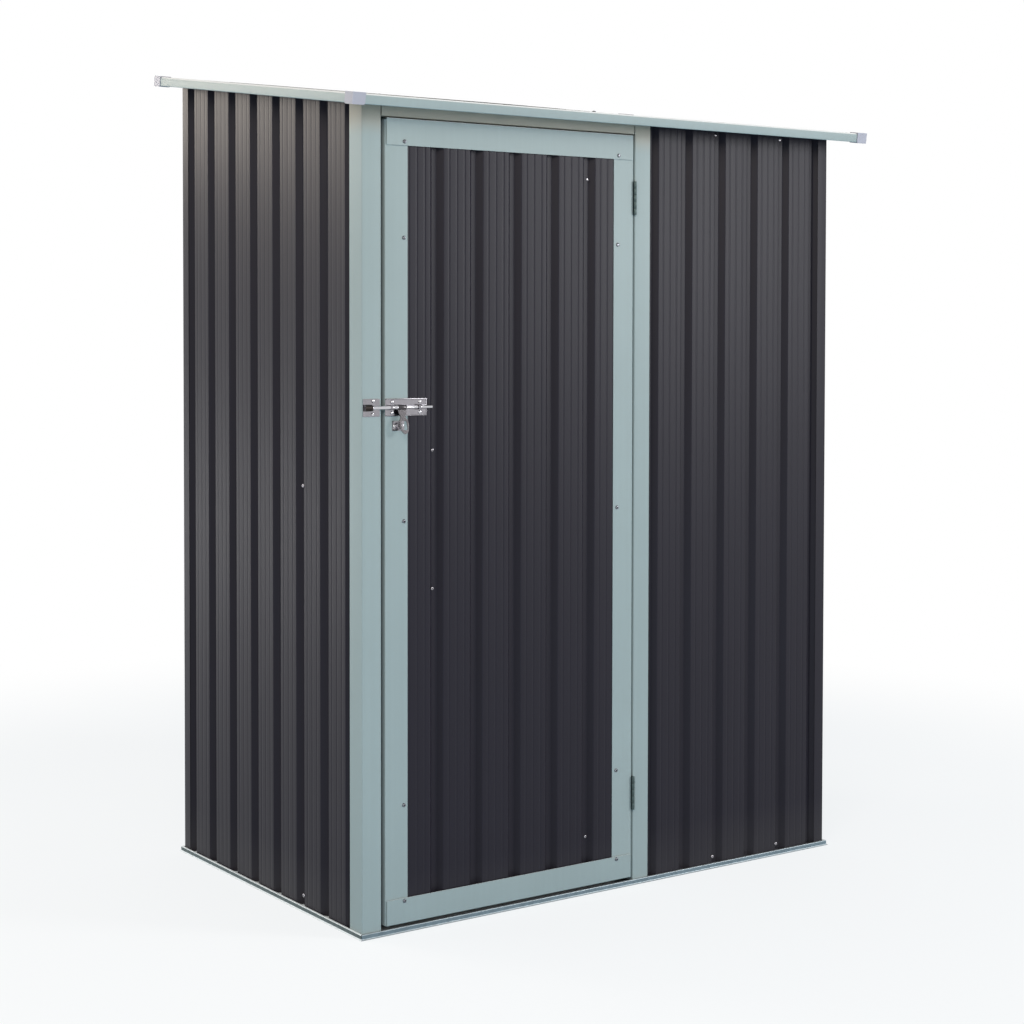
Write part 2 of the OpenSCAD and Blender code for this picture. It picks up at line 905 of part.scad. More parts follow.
// Smooth change of half width from w0 to w1 between the depths d0 and d1 below the bolt
function hasp_blend(w0, w1, d0, d1) = [
    for (t = [0:0.125:0.875])
        [w0 / 2 + (w1 - w0) / 4 * (1 - cos(180 * t)), -d0 - (d1 - d0) * t]
];

// Right edge of the hasp, from its sleeve down the waist and round the ring to its tip
function hasp_edge() = concat(
    [[hasp_neck / 2, 0]],
    hasp_blend(hasp_neck, hasp_waist, hasp_shoulder, hasp_waist_at),
    hasp_blend(hasp_waist, hasp_ring_w, hasp_waist_at, hasp_ring_at),
    [[hasp_ring_w / 2, -hasp_ring_at]],
    [
        for (t = [0:0.125:1])
            [hasp_ring_w / 2 * cos(90 * t), -hasp_taper - (hasp_tip - hasp_taper) * sin(90 * t)]
    ]
);

// Slot of width w and height h with rounded corners, its upper edge on y = 0
module round_slot(w, h, r) {
    translate([-w / 2, r - h])
        square([w, h - 2 * r]);
    translate([r - w / 2, -h])
        square([w - 2 * r, h]);
    for (side = [-1, 1], y = [-r, r - h])
        translate([side * (w / 2 - r), y])
            circle(r = r);
}

// Outline of the hasp's flat: a waisted neck and a ring that narrows to its tip
module hasp_outline() {
    edge = hasp_edge();
    difference() {
        polygon(concat(edge, [for (i = [len(edge) - 2:-1:0]) [-edge[i][0], edge[i][1]]]));
        translate([0, -hasp_slot_top])
            round_slot(hasp_slot_w, hasp_slot_bottom - hasp_slot_top, hasp_slot_r);
    }
}

// Hasp that turns on the rod and drops over the staple
module padlock_hasp() {
    color(zinc)
        translate([hasp_x, bolt_y, bolt_z])
            rotate([-hasp_tilt, 0, 0])
                difference() {
                    union() {
                        translate([-sleeve_l / 2, 0, 0])
                            rotate([0, 90, 0])
                                cylinder(r = sleeve_r, h = sleeve_l);
                        translate([0, hasp_t / 2, 0])
                            rotate([90, 0, 0])
                                linear_extrude(hasp_t)
                                    hasp_outline();
                    }
                    translate([-sleeve_l, 0, 0])
                        rotate([0, 90, 0])
                            cylinder(r = guide_bore_r, h = 2 * sleeve_l);
                }
}

// Staple on the door for the padlock: a round bar bent to an eye on a small plate
module hasp_staple() {
    leg_l = staple_out - staple_bar_r - staple_span / 2;
    color(zinc)
        translate([hasp_x - staple_shift, y_front, bolt_z - staple_drop]) {
            translate([-staple_plate_l / 2, -plate_t, -staple_plate_h / 2])
                cube([staple_plate_l, plate_t, staple_plate_h]);
            for (side = [-1, 1])
                translate([0, 0, side * staple_span / 2])
                    rotate([90, 0, 0])
                        cylinder(r = staple_bar_r, h = leg_l);
            translate([0, -leg_l, 0])
                rotate([0, 90, 0])
                    rotate([0, 0, 180])
                        rotate_extrude(angle = 180)
                            translate([staple_span / 2, 0])
                                circle(r = staple_bar_r);
        }
}

base_rail_front();
base_rail_back();
base_rail_left();
base_rail_right();
corner_post();
door_jamb();
door_header();
left_wall_sheet();
right_wall_sheet();
front_wall_sheet();
back_wall_sheet_left();
back_wall_sheet_right();
front_top_rail();
back_top_rail();
left_top_rail();
right_top_rail();
left_wall_brace();
right_wall_brace();
back_wall_brace();
roof_sheet_left();
roof_sheet_right();
roof_trim_front();
roof_trim_back();
roof_trim_left();
roof_trim_right();
roof_cap_front_left();
roof_cap_front_right();
roof_cap_back_left();
roof_cap_back_right();
frame_hinge_leaves();
bolt_keeper();
door_sheet();
door_stile_left();
door_stile_right();
door_rail_top();
door_rail_bottom();
door_brace_upper();
door_brace_lower();
door_hinge_leaves();
bolt_plate();
hasp_staple();
bolt_rod();
padlock_hasp();
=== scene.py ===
"""Looks of a lean-to metal storage shed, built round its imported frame."""
import json
import logging
import math
from dataclasses import dataclass, replace
from enum import Enum
from typing import Callable, ClassVar, Iterable, Optional, Sequence

import bmesh
import bpy
from mathutils import Matrix, Vector


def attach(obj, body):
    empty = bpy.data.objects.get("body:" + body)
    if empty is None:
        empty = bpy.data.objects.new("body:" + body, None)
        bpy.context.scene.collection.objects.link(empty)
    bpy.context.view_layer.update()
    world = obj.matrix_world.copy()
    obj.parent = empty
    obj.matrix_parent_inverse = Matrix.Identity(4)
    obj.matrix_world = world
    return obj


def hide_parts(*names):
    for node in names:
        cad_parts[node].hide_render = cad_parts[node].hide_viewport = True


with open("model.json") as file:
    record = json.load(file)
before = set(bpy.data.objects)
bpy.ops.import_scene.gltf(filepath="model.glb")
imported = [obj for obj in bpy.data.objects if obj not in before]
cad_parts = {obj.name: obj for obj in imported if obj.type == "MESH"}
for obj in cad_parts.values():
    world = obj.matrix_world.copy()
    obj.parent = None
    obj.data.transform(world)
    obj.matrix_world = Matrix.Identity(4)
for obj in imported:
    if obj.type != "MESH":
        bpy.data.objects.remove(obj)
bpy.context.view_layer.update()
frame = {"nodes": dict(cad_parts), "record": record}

LOG = logging.getLogger("shed")

MM = 0.001
# Colour inputs and colour output of a Mix node
MIX_A, MIX_B, MIX_OUT = 6, 7, 2
# Share of a straight that one bend may take up, and the least turn that is rounded
BEND_SHARE, LEAST_TURN = 0.48, 0.01
# Faces on each rounded bend
BEND_STEPS = 5
# Edges sharper than this stay sharp on added pieces, and on rolled ones
SHARP_DEG, ROLLED_DEG = 38.0, 30.0

Point2 = tuple[float, float]
Point3 = tuple[float, float, float]
Bend = tuple[float, float, float]
Colour = tuple[float, float, float, float]
Place = Callable[[float, float, int], Vector]
Strip = tuple[Sequence[Bend], Place]
Tree = bpy.types.NodeTree
Socket = bpy.types.NodeSocket
Material = bpy.types.Material
Shape = bmesh.types.BMesh


class Side(Enum):
    """Faces of the shed, with the way that each one looks."""

    FRONT = (0.0, -1.0, 0.0)
    BACK = (0.0, 1.0, 0.0)
    LEFT = (-1.0, 0.0, 0.0)
    RIGHT = (1.0, 0.0, 0.0)


class Slot(Enum):
    """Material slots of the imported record."""

    SHEET = "sheet_dark"
    TRIM = "trim_light"
    GALVANISED = "galvanised"
    CAP = "cap_pale"
    ZINC = "zinc"
    DARK_ZINC = "zinc_dark"


class CornerFold(Enum):
    """Edge of a wall sheet that is folded round a corner of the shed."""

    NONE = "none"
    NEAR = "near"
    FAR = "far"


def linear(hex_colour: str) -> Colour:
    """Turns an sRGB hex colour into linear light.

    Args:
        hex_colour: Six hex digits after a hash sign.

    Returns:
        Linear red, green, blue, and an alpha of 1.
    """
    parts = [int(hex_colour[i:i + 2], 16) / 255 for i in (1, 3, 5)]
    light = [c / 12.92 if c <= 0.04045 else ((c + 0.055) / 1.055) ** 2.4 for c in parts]
    return light[0], light[1], light[2], 1.0


def per_metre(size_mm: float) -> float:
    """Pattern scale at which one feature measures size_mm."""
    return 1 / (size_mm * MM)


def add(
    tree: Tree, kind: str, settings: Optional[dict] = None, links: Optional[dict] = None
) -> bpy.types.Node:
    """Adds a node with its settings and links.

    Args:
        tree: Node tree of a material or world.
        kind: Blender's name of the node type, less "ShaderNode".
        settings: Values by property name, input name or input number.
        links: Output sockets by the input name or number that they feed.

    Returns:
        The new node.
    """
    node = tree.nodes.new("ShaderNode" + kind)
    for key, value in (settings or {}).items():
        if isinstance(key, int) or key in node.inputs:
            node.inputs[key].default_value = value
        else:
            setattr(node, key, value)
    for key, source in (links or {}).items():
        tree.links.new(source, node.inputs[key])
    return node


def new_material(name: str) -> tuple[Material, Tree, Socket]:
    """Makes an empty node material.

    Args:
        name: Name of the material.

    Returns:
        The material, its node tree, and the place on the object that wears it.
    """
    material = bpy.data.materials.new(name)
    material.use_nodes = True
    tree = material.node_tree
    tree.nodes.clear()
    return material, tree, add(tree, "TexCoord").outputs["Object"]


def up_facing(tree: Tree) -> Socket:
    """Finds the surfaces that look up, where dirt and a painted top light show.

    Args:
        tree: Node tree of a material.

    Returns:
        A socket that is 0 on walls and 1 on level tops.
    """
    look = add(tree, "NewGeometry")
    axes = add(tree, "SeparateXYZ", {}, {"Vector": look.outputs["Normal"]})
    limits = {"interpolation_type": "SMOOTHSTEP", "From Min": 0.15, "From Max": 0.6}
    return add(tree, "MapRange", limits, {"Value": axes.outputs["Z"]}).outputs["Result"]


@dataclass(frozen=True)
class Finish:
    """What all finishes share: a colour, a gloss and a relief that patterns vary a little."""

    name: str
    colour: str
    roughness: float
    # Factors of the colour, roughness below and above its mean, strength and millimetres of the relief
    shade: ClassVar[Point2] = (0.95, 1.05)
    spread: ClassVar[Point2] = (0.05, 0.07)
    relief: ClassVar[Point2] = (0.08, 0.2)

    def fill(self, tree: Tree, place: Socket) -> None:
        """Adds the nodes of one kind of finish to the tree."""
        raise NotImplementedError

    def material(self) -> Material:
        """Builds the finish.

        Returns:
            The material.
        """
        material, tree, place = new_material(self.name)
        self.fill(tree, place)
        return material

    def varied(self, tree: Tree, pattern: Socket, span: Point2 = (0.0, 1.0)) -> Socket:
        """Lets the colour vary with a pattern.

        Args:
            tree: Node tree of the material.
            pattern: Pattern that the colour follows.
            span: Values of the pattern between which the colour varies.

        Returns:
            The varied colour.
        """
        limits = {"From Min": span[0], "From Max": span[1], "To Min": self.shade[0], "To Max": self.shade[1]}
        shade = add(tree, "MapRange", limits, {"Value": pattern})
        scale = {"operation": "SCALE", 0: linear(self.colour)[:3]}
        return add(tree, "VectorMath", scale, {"Scale": shade.outputs["Result"]}).outputs["Vector"]

    def close(self, tree: Tree, gloss: Socket, height: Socket, settings: dict, links: dict) -> None:
        """Ends the material with its shader.

        Args:
            tree: Node tree of the material.
            gloss: Pattern that the roughness follows.
            height: Pattern of the relief.
            settings: Values of the shader's sockets.
            links: Sockets that feed the shader, beside its roughness and relief.
        """
        limits = {"To Min": self.roughness - self.spread[0], "To Max": self.roughness + self.spread[1]}
        rough = add(tree, "MapRange", limits, {"Value": gloss})
        depth = {"Strength": self.relief[0], "Distance": self.relief[1] * MM}
        bump = add(tree, "Bump", depth, {"Height": height})
        made = {"Roughness": rough.outputs["Result"], "Normal": bump.outputs["Normal"]}
        shader = add(tree, "BsdfPrincipled", settings, {**links, **made})
        add(tree, "OutputMaterial", {}, {"Surface": shader.outputs["BSDF"]})


@dataclass(frozen=True)
class CoilCoat(Finish):
    """Polyester paint that is baked onto galvanised strip before it is roll-formed.

    The eye sees a matt film: even colour, a low sheen that brightens toward the sky, a very
    fine orange-peel, faint lines along the run of the rolls, and pale dirt on upward faces
    that also stands for a painted top light. Under the eave it can take a warm painted bounce light.
    """

    # Colour of pale dirt at the foot and on upward faces, where it is also a painted top light
    dirt_and_top_light: str
    # A matt film scatters most of the gloss that its resin would have
    specular: float = 0.18
    cloud_mm: float = 260.0
    streak_mm: float = 11.0
    streak_run_mm: float = 1400.0
    streak_part: float = 0.3
    # Real orange-peel is about 0.4 mm; it is drawn coarser so that close views show it
    peel_mm: float = 1.1
    dust_top_mm: float = 120.0
    dust_foot: float = 0.10
    # Share of that colour on upward faces: dirt and a painted top light
    upward_dirt_and_light: float = 0.15
    # Warm painted bounce light under the eave: a warm tint at the top that fades out down the wall
    eave: str = "#b0a592"
    eave_painted_light: float = 0.0
    eave_mm: Point2 = (1620.0, 1680.0)
    # Most of the noise lies between these values
    span: ClassVar[Point2] = (0.3, 0.7)
    spread: ClassVar[Point2] = (0.03, 0.04)

    def fill(self, tree: Tree, place: Socket) -> None:
        """Adds the paint's nodes.

        Args:
            tree: Node tree of the material.
            place: Place on the sheet.
        """
        noise = {"Scale": per_metre(self.cloud_mm), "Detail": 3.0}
        cloud = add(tree, "TexNoise", noise, {"Vector": place}).outputs["Fac"]
        across, along = per_metre(self.streak_mm), per_metre(self.streak_run_mm)
        run = add(tree, "Mapping", {"Scale": (across, across, along)}, {"Vector": place})
        noise = {"Scale": 1.0, "Detail": 2.0}
        streak = add(tree, "TexNoise", noise, {"Vector": run.outputs["Vector"]}).outputs["Fac"]
        mean = add(tree, "Mix", {"data_type": "FLOAT", "Factor": self.streak_part}, {"A": cloud, "B": streak})
        paint = self.varied(tree, mean.outputs[0], self.span)
        height = add(tree, "SeparateXYZ", {}, {"Vector": place}).outputs["Z"]
        limits = {"From Min": self.dust_top_mm * MM, "From Max": 0.0, "To Min": 0.0, "To Max": self.dust_foot}
        low = add(tree, "MapRange", limits, {"Value": height}).outputs["Result"]
        foot = add(tree, "Math", {"operation": "MULTIPLY", "use_clamp": True}, {0: low, 1: cloud})
        # Upward faces are painted paler, as dirt and a painted top light; the foot takes dirt
        film = add(
            tree, "Math", {"operation": "MULTIPLY_ADD", "use_clamp": True, 1: self.upward_dirt_and_light},
            {0: up_facing(tree), 2: foot.outputs["Value"]},
        )
        colour = add(
            tree, "Mix", {"data_type": "RGBA", MIX_B: linear(self.dirt_and_top_light)},
            {"Factor": film.outputs["Value"], MIX_A: paint},
        )
        # Warm painted bounce light at the top, under the eave
        if self.eave_painted_light:
            bottom, top = self.eave_mm
            limits = {"From Min": bottom * MM, "From Max": top * MM, "To Max": self.eave_painted_light}
            warm_bounce = add(tree, "MapRange", {"interpolation_type": "SMOOTHSTEP", **limits}, {"Value": height})
            colour = add(
                tree, "Mix", {"data_type": "RGBA", MIX_B: linear(self.eave)},
                {"Factor": warm_bounce.outputs["Result"], MIX_A: colour.outputs[MIX_OUT]},
            )
        peel = add(tree, "TexNoise", {"Scale": per_metre(self.peel_mm), "Detail": 1.0}, {"Vector": place})
        self.close(
            tree, streak, peel.outputs["Fac"],
            {"Metallic": 0.0, "IOR": 1.5, "Specular IOR Level": self.specular},
            {"Base Color": colour.outputs[MIX_OUT]},
        )


@dataclass(frozen=True)
class HotDipZinc(Finish):
    """Hot-dip galvanised strip, left bare.

    The eye sees dull grey metal whose crystals each catch the light a little differently,
    with pale dirt on the faces that look up, which is also a painted top light.
    """

    # Colour painted on upward faces: pale dirt and a painted top light
    dirt_and_top_light: str
    spangle_mm: float = 9.0
    cloud_mm: float = 120.0
    # Share of that colour on upward faces
    upward_dirt_and_light: float = 0.6
    shade: ClassVar[Point2] = (0.88, 1.10)
    spread: ClassVar[Point2] = (0.08, 0.10)

    def fill(self, tree: Tree, place: Socket) -> None:
        """Adds the zinc's nodes.

        Args:
            tree: Node tree of the material.
            place: Place on the strip.
        """
        cells = {"Scale": per_metre(self.spangle_mm), "Randomness": 1.0}
        crystal = add(tree, "TexVoronoi", cells, {"Vector": place})
        grey = add(tree, "SeparateColor", {}, {"Color": crystal.outputs["Color"]})
        metal = self.varied(tree, grey.outputs["Red"])
        # Upward faces are painted paler, as dirt and a painted top light
        thick = {"operation": "MULTIPLY", 1: self.upward_dirt_and_light}
        film = add(tree, "Math", thick, {0: up_facing(tree)}).outputs["Value"]
        over = {"data_type": "RGBA", MIX_B: linear(self.dirt_and_top_light)}
        colour = add(tree, "Mix", over, {"Factor": film, MIX_A: metal})
        bare = add(tree, "Math", {"operation": "SUBTRACT", 0: 1.0}, {1: film})
        cloud = add(tree, "TexNoise", {"Scale": per_metre(self.cloud_mm), "Detail": 4.0}, {"Vector": place})
        self.close(
            tree, cloud.outputs["Fac"], grey.outputs["Green"], {},
            {"Base Color": colour.outputs[MIX_OUT], "Metallic": bare.outputs["Value"]},
        )


@dataclass(frozen=True)
class BrightZinc(Finish):
    """Pressed or drawn steel with a zinc plating in light and dark tones; the darkest, on the keeper's strap,
    is painted shade.

    The eye sees a mirror-like but slightly milky metal with fine lines from polishing.
    """

    line_mm: float = 0.6
    line_run_mm: float = 40.0
    cloud_mm: float = 14.0
    shade: ClassVar[Point2] = (0.90, 1.05)
    spread: ClassVar[Point2] = (0.06, 0.08)
    relief: ClassVar[Point2] = (0.05, 0.1)

    def fill(self, tree: Tree, place: Socket) -> None:
        """Adds the plating's nodes.

        Args:
            tree: Node tree of the material.
            place: Place on the pressing.
        """
        along, across = per_metre(self.line_run_mm), per_metre(self.line_mm)
        run = add(tree, "Mapping", {"Scale": (along, across, across)}, {"Vector": place})
        line = add(tree, "TexNoise", {"Scale": 1.0, "Detail": 1.0}, {"Vector": run.outputs["Vector"]})
        noise = {"Scale": per_metre(self.cloud_mm), "Detail": 3.0}
        cloud = add(tree, "TexNoise", noise, {"Vector": place}).outputs["Fac"]
        metal = self.varied(tree, cloud)
        self.close(tree, cloud, line.outputs["Fac"], {"Metallic": 1.0}, {"Base Color": metal})


@dataclass(frozen=True)
class MouldedPlastic(Finish):
    """Injection-moulded polypropylene with a spark-eroded grain.

    The eye sees a pale, waxy, slightly uneven surface with a broad soft sheen.
    """

    # The eroded grain scatters most of the gloss
    specular: float = 0.15
    grain_mm: float = 0.8
    cloud_mm: float = 25.0
    relief: ClassVar[Point2] = (0.15, 0.2)

    def fill(self, tree: Tree, place: Socket) -> None:
        """Adds the plastic's nodes.

        Args:
            tree: Node tree of the material.
            place: Place on the moulding.
        """
        cloud, grain = (
            add(tree, "TexNoise", {"Scale": per_metre(size), "Detail": 2.0}, {"Vector": place}).outputs["Fac"]
            for size in (self.cloud_mm, self.grain_mm)
        )
        self.close(
            tree, grain, grain, {"Metallic": 0.0, "IOR": 1.49, "Specular IOR Level": self.specular},
            {"Base Color": self.varied(tree, cloud)},
        )


ANTHRACITE = CoilCoat("coil_coated_steel_anthracite", "#1e1c25", 0.42, "#8b8880", specular=0.16)
BACK_COAT = CoilCoat("coil_coated_steel_grey_back", "#85898a", 0.55, "#8b8880")
# Its upward faces, such as the round tops of the roof trims, are painted near white: a painted highlight of
# the light from above
PALE_COAT = CoilCoat(
    "coil_coated_steel_pale_grey_blue", "#98a5a5", 0.42, "#f2f5f5",
    cloud_mm=420.0, dust_foot=0.0, upward_dirt_and_light=0.95,
)
# The post, jamb and header take a warm painted bounce light at their tops, under the eave
EAVE_LIT_COAT = replace(PALE_COAT, name="coil_coated_steel_pale_grey_blue_under_eave", eave_painted_light=0.85)
# Its upward faces are painted pale: dirt and a painted top light
BARE_ZINC = HotDipZinc("hot_dip_galvanised_steel", "#76858c", 0.45, "#eef2f2")
# The front rail is painted darker, with less pale film on its ledge: painted shade under the door.
# The left rail is painted darker on its face and near white on its ledge and foot: painted shade and a
# painted top light.
FRONT_SHADED_ZINC = replace(
    BARE_ZINC, name="hot_dip_galvanised_steel_front_painted_shade", colour="#687881", upward_dirt_and_light=0.3
)
LEFT_LIT_AND_SHADED_ZINC = replace(
    BARE_ZINC, name="hot_dip_galvanised_steel_weathered", colour="#586364", dirt_and_top_light="#eaf3f8", upward_dirt_and_light=0.95
)
PLATED = BrightZinc("bright_zinc_plated_steel", "#949297", 0.14)
HASP_ZINC = BrightZinc("dull_zinc_plated_pressing", "#4f4d4f", 0.22)
CHROME = BrightZinc("bright_drawn_chromed_rod", "#c6c6ca", 0.10)
# The strap over the keeper's loop is painted dark: painted shade and a painted dark reflection
SHADED_STRAP_ZINC = BrightZinc("zinc_strap_painted_shade", "#2f2b29", 0.35)
SCREW_ZINC = BrightZinc("bright_zinc_plated_screw_wire", "#6d6f75", 0.12)
# The hinges are made dark grey
DULL_PLATED = BrightZinc("dark_grey_zinc_plated_steel", "#4a5757", 0.42)
CAP_PLASTIC = MouldedPlastic("moulded_polypropylene_lilac_white", "#a9a9b4", 0.45)


class Finishes:
    """Builds each finish once and hands it out by the node or the slot that it belongs to."""

    def __init__(self) -> None:
        """Builds all the materials."""
        slots = {
            Slot.SHEET: ANTHRACITE, Slot.TRIM: PALE_COAT, Slot.GALVANISED: BARE_ZINC,
            Slot.CAP: CAP_PLASTIC, Slot.ZINC: PLATED, Slot.DARK_ZINC: DULL_PLATED,
        }
        nodes = {
            "bolt_rod": CHROME, "padlock_hasp": HASP_ZINC,
            "base_rail_front": FRONT_SHADED_ZINC, "base_rail_left": LEFT_LIT_AND_SHADED_ZINC,
        }
        self.by_slot: dict[Slot, Material] = {slot: finish.material() for slot, finish in slots.items()}
        self.by_node: dict[str, Material] = {node: finish.material() for node, finish in nodes.items()}
        self.chrome: Material = self.by_node["bolt_rod"]
        self.plated: Material = self.by_slot[Slot.ZINC]
        self.back: Material = BACK_COAT.material()
        self.eave_lit: Material = EAVE_LIT_COAT.material()
        self.screws: Material = SCREW_ZINC.material()
        self.strap: Material = SHADED_STRAP_ZINC.material()

    def of(self, node: str, slot: Slot) -> Material:
        """Finish of a node: its own, or the one of its slot."""
        return self.by_node.get(node, self.by_slot[slot])


def place_piece(
    shape: Shape, name: str, body: str, materials: Sequence[Material],
    sharp_deg: float = SHARP_DEG,
) -> bpy.types.Object:
    """Turns a finished shape into an object that rides on a CAD body.

    Args:
        shape: Shape in metres, in the CAD frame; it is freed here.
        name: Name of the piece.
        body: CAD body that it moves with.
        materials: Materials by the shape's own material numbers.
        sharp_deg: Edges sharper than this stay sharp.

    Returns:
        The new object.
    """
    bmesh.ops.recalc_face_normals(shape, faces=shape.faces)
    for face in shape.faces:
        face.smooth = True
    mesh = bpy.data.meshes.new(name)
    shape.to_mesh(mesh)
    shape.free()
    mesh.set_sharp_from_angle(angle=math.radians(sharp_deg))
    for material in materials:
        mesh.materials.append(material)
    piece = bpy.data.objects.new(name, mesh)
    bpy.context.scene.collection.objects.link(piece)
    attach(piece, body)
    LOG.info("%s: %d faces, rides on %s", name, len(mesh.polygons), body)
    return piece


def round_bends(bends: Sequence[Bend], steps: int) -> list[Point2]:
    """Rounds the corners of a bent line.

    Args:
        bends: Corners of the line as two coordinates and a bend radius.
        steps: Points on each rounded corner, less one.

    Returns:
        Points of the rounded line.
    """
    line: list[Point2] = [(bends[0][0], bends[0][1])]
    for before, here, after in zip(bends, bends[1:], bends[2:]):
        a, p, b = Vector(before[:2]), Vector(here[:2]), Vector(after[:2])
        into, out = (p - a).normalized(), (b - p).normalized()
        turn = math.acos(max(-1.0, min(1.0, into.dot(out))))
        if here[2] <= 0 or turn < LEAST_TURN:
            line.append((p.x, p.y))
            continue
        straight = min((p - a).length, (b - p).length)
        reach = min(here[2] * math.tan(turn / 2), straight * BEND_SHARE)
        radius = reach / math.tan(turn / 2)
        sign = 1.0 if into.x * out.y - into.y * out.x > 0 else -1.0
        start = p - into * reach
        centre = start + Vector((-into.y, into.x)) * radius * sign
        arm = start - centre
        for step in range(steps + 1):
            angle = sign * turn * step / steps
            c, s = math.cos(angle), math.sin(angle)
            line.append((centre.x + arm.x * c - arm.y * s, centre.y + arm.x * s + arm.y * c))
    line.append((bends[-1][0], bends[-1][1]))
    return line


def set_in(line: Sequence[Point2], depth: float) -> list[Point2]:
    """Moves a line square to itself, to the left of its run.

    Args:
        line: Points of the line.
        depth: How far it moves.

    Returns:
        Points of the moved line.
    """
    ways = [Vector((b[0] - a[0], b[1] - a[1])).normalized() for a, b in zip(line, line[1:])]
    sides = [Vector((-way.y, way.x)) for way in ways]
    moved: list[Point2] = []
    for (x, y), here, after in zip(line, sides[:1] + sides, sides + sides[-1:]):
        mean = (here + after).normalized()
        # A sharp corner moves out at most twice the depth
        stretch = depth / max(0.5, mean.dot(here))
        moved.append((x + mean.x * stretch, y + mean.y * stretch))
    return moved


def draw_out(
    shape: Shape, bends: Sequence[Bend], depth: float, place: Place, steps: int = BEND_STEPS
) -> None:
    """Draws a bent strip out along its run.

    Args:
        shape: Shape that takes the strip; its face has material number 0 and its back number 1.
        bends: Bends of the strip's face, whose back lies to the left of their run.
        depth: Thickness of the strip.
        place: Gives the point for a place on the line, at end 0 or end 1 of the run.
        steps: Faces on each rounded bend.
    """
    face = round_bends(bends, steps)
    back = set_in(face, depth)
    rows = [[[shape.verts.new(place(a, d, end)) for a, d in line] for end in (0, 1)] for line in (face, back)]
    for number, row in enumerate(rows):
        for i in range(len(face) - 1):
            made = shape.faces.new((row[0][i], row[0][i + 1], row[1][i + 1], row[1][i]))
            made.material_index = number
    for end in (0, 1):
        for i in range(len(face) - 1):
            shape.faces.new((rows[0][end][i], rows[0][end][i + 1], rows[1][end][i + 1], rows[1][end][i]))
    for i in (0, -1):
        shape.faces.new((rows[0][0][i], rows[0][1][i], rows[1][1][i], rows[1][0][i]))


def roll(
    node: str, body: str, paints: Sequence[Material], depth: float, strips: Iterable[Strip],
    steps: int = BEND_STEPS,
) -> None:
    """Puts bent strips with rounded bends in the place of a CAD node.

    Args:
        node: CAD node that they replace.
        body: CAD body that they ride on.
        paints: Materials of their face and their back.
        depth: Thickness of the strips.
        strips: Bends and placing rule of each strip.
        steps: Faces on each rounded bend.
    """
    shape = bmesh.new()
    for bends, place in strips:
        draw_out(shape, bends, depth, place, steps)
    piece = place_piece(shape, node + "_rolled", body, paints, ROLLED_DEG)
    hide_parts(node)


@dataclass
class ShedSizes:
    """Main planes of the shed, in millimetres."""

    wall_w: float = 1306.0
    wall_d: float = 794.0
    skin: float = 1.0
    sheet_t: float = 0.6
    sheet_deep: float = 12.6
    rail_h: float = 11.0
    seat_z: float = 6.0
    frame_t: float = 1.0
    corner_fold: float = 29.0
    lap: float = 12.0
    slope_deg: float = 8.35
    roof_over_side: float = 62.0
    roof_over_front: float = 64.0
    roof_over_back: float = 20.6
    cap_h: float = 24.6
    cap_wall: float = 1.5
    cap_plate: float = 1.8
    roof_sheet_top: float = 21.8
    wall_top: float = 8.6
    header_z0: float = 1667.0
    front_top_z: float = 1694.4
    door_x0: float = 55.0
    door_w: float = 652.0
    door_z0: float = 17.0
    door_h: float = 1644.5
    jamb_x0: float = 712.0
    jamb_x1: float = 755.0
    # The door's rails spring a little off the stiles that they lap over
    rail_off: float = 1.6
    lock_plate_t: float = 1.2

    @property
    def front_sheet_x0(self) -> float:
        """Left edge of the front sheet, a third of the way across the jamb."""
        return self.jamb_x0 + (self.jamb_x1 - self.jamb_x0) / 3

    @property
    def slope(self) -> float:
        """Slope of the roof in radians."""
        return math.radians(self.slope_deg)

    @property
    def roof_run(self) -> float:
        """Level depth of the roof."""
        return self.roof_over_front + self.wall_d + self.roof_over_back

    @property
    def roof_w(self) -> float:
        """Width of the roof."""
        return self.wall_w + 2 * self.roof_over_side

    @property
    def roof_l(self) -> float:
        """Length of the roof along its slope."""
        return self.roof_run / math.cos(self.slope)

    @property
    def roof_y(self) -> float:
        """Lower front edge of the roof."""
        return (self.cap_h * math.sin(self.slope) - self.roof_run) / 2

    @property
    def y_front(self) -> float:
        """Outer face of the front wall."""
        return self.roof_y + self.roof_over_front

    @property
    def y_back(self) -> float:
        """Outer face of the back wall."""
        return self.y_front + self.wall_d

    @property
    def x_left(self) -> float:
        """Outer face of the left wall."""
        return -self.wall_w / 2

    @property
    def eave_z(self) -> float:
        """Height of the roof's lower front edge."""
        rise = self.roof_over_front * math.tan(self.slope) + self.wall_top / math.cos(self.slope)
        return self.front_top_z - rise

    def wall_top_z(self, y: float) -> float:
        """Top of a wall at depth y, under the roof sheets."""
        return self.front_top_z + (y - self.y_front) * math.tan(self.slope)

    def on_roof(self, u: float, v: float, w: float) -> Vector:
        """Point of the roof.

        Args:
            u: Place across the roof.
            v: Place up the slope.
            w: Height square to the roof.

        Returns:
            The point in the CAD frame, in metres.
        """
        c, s = math.cos(self.slope), math.sin(self.slope)
        return Vector((u, self.roof_y + v * c - w * s, self.eave_z + v * s + w * c)) * MM


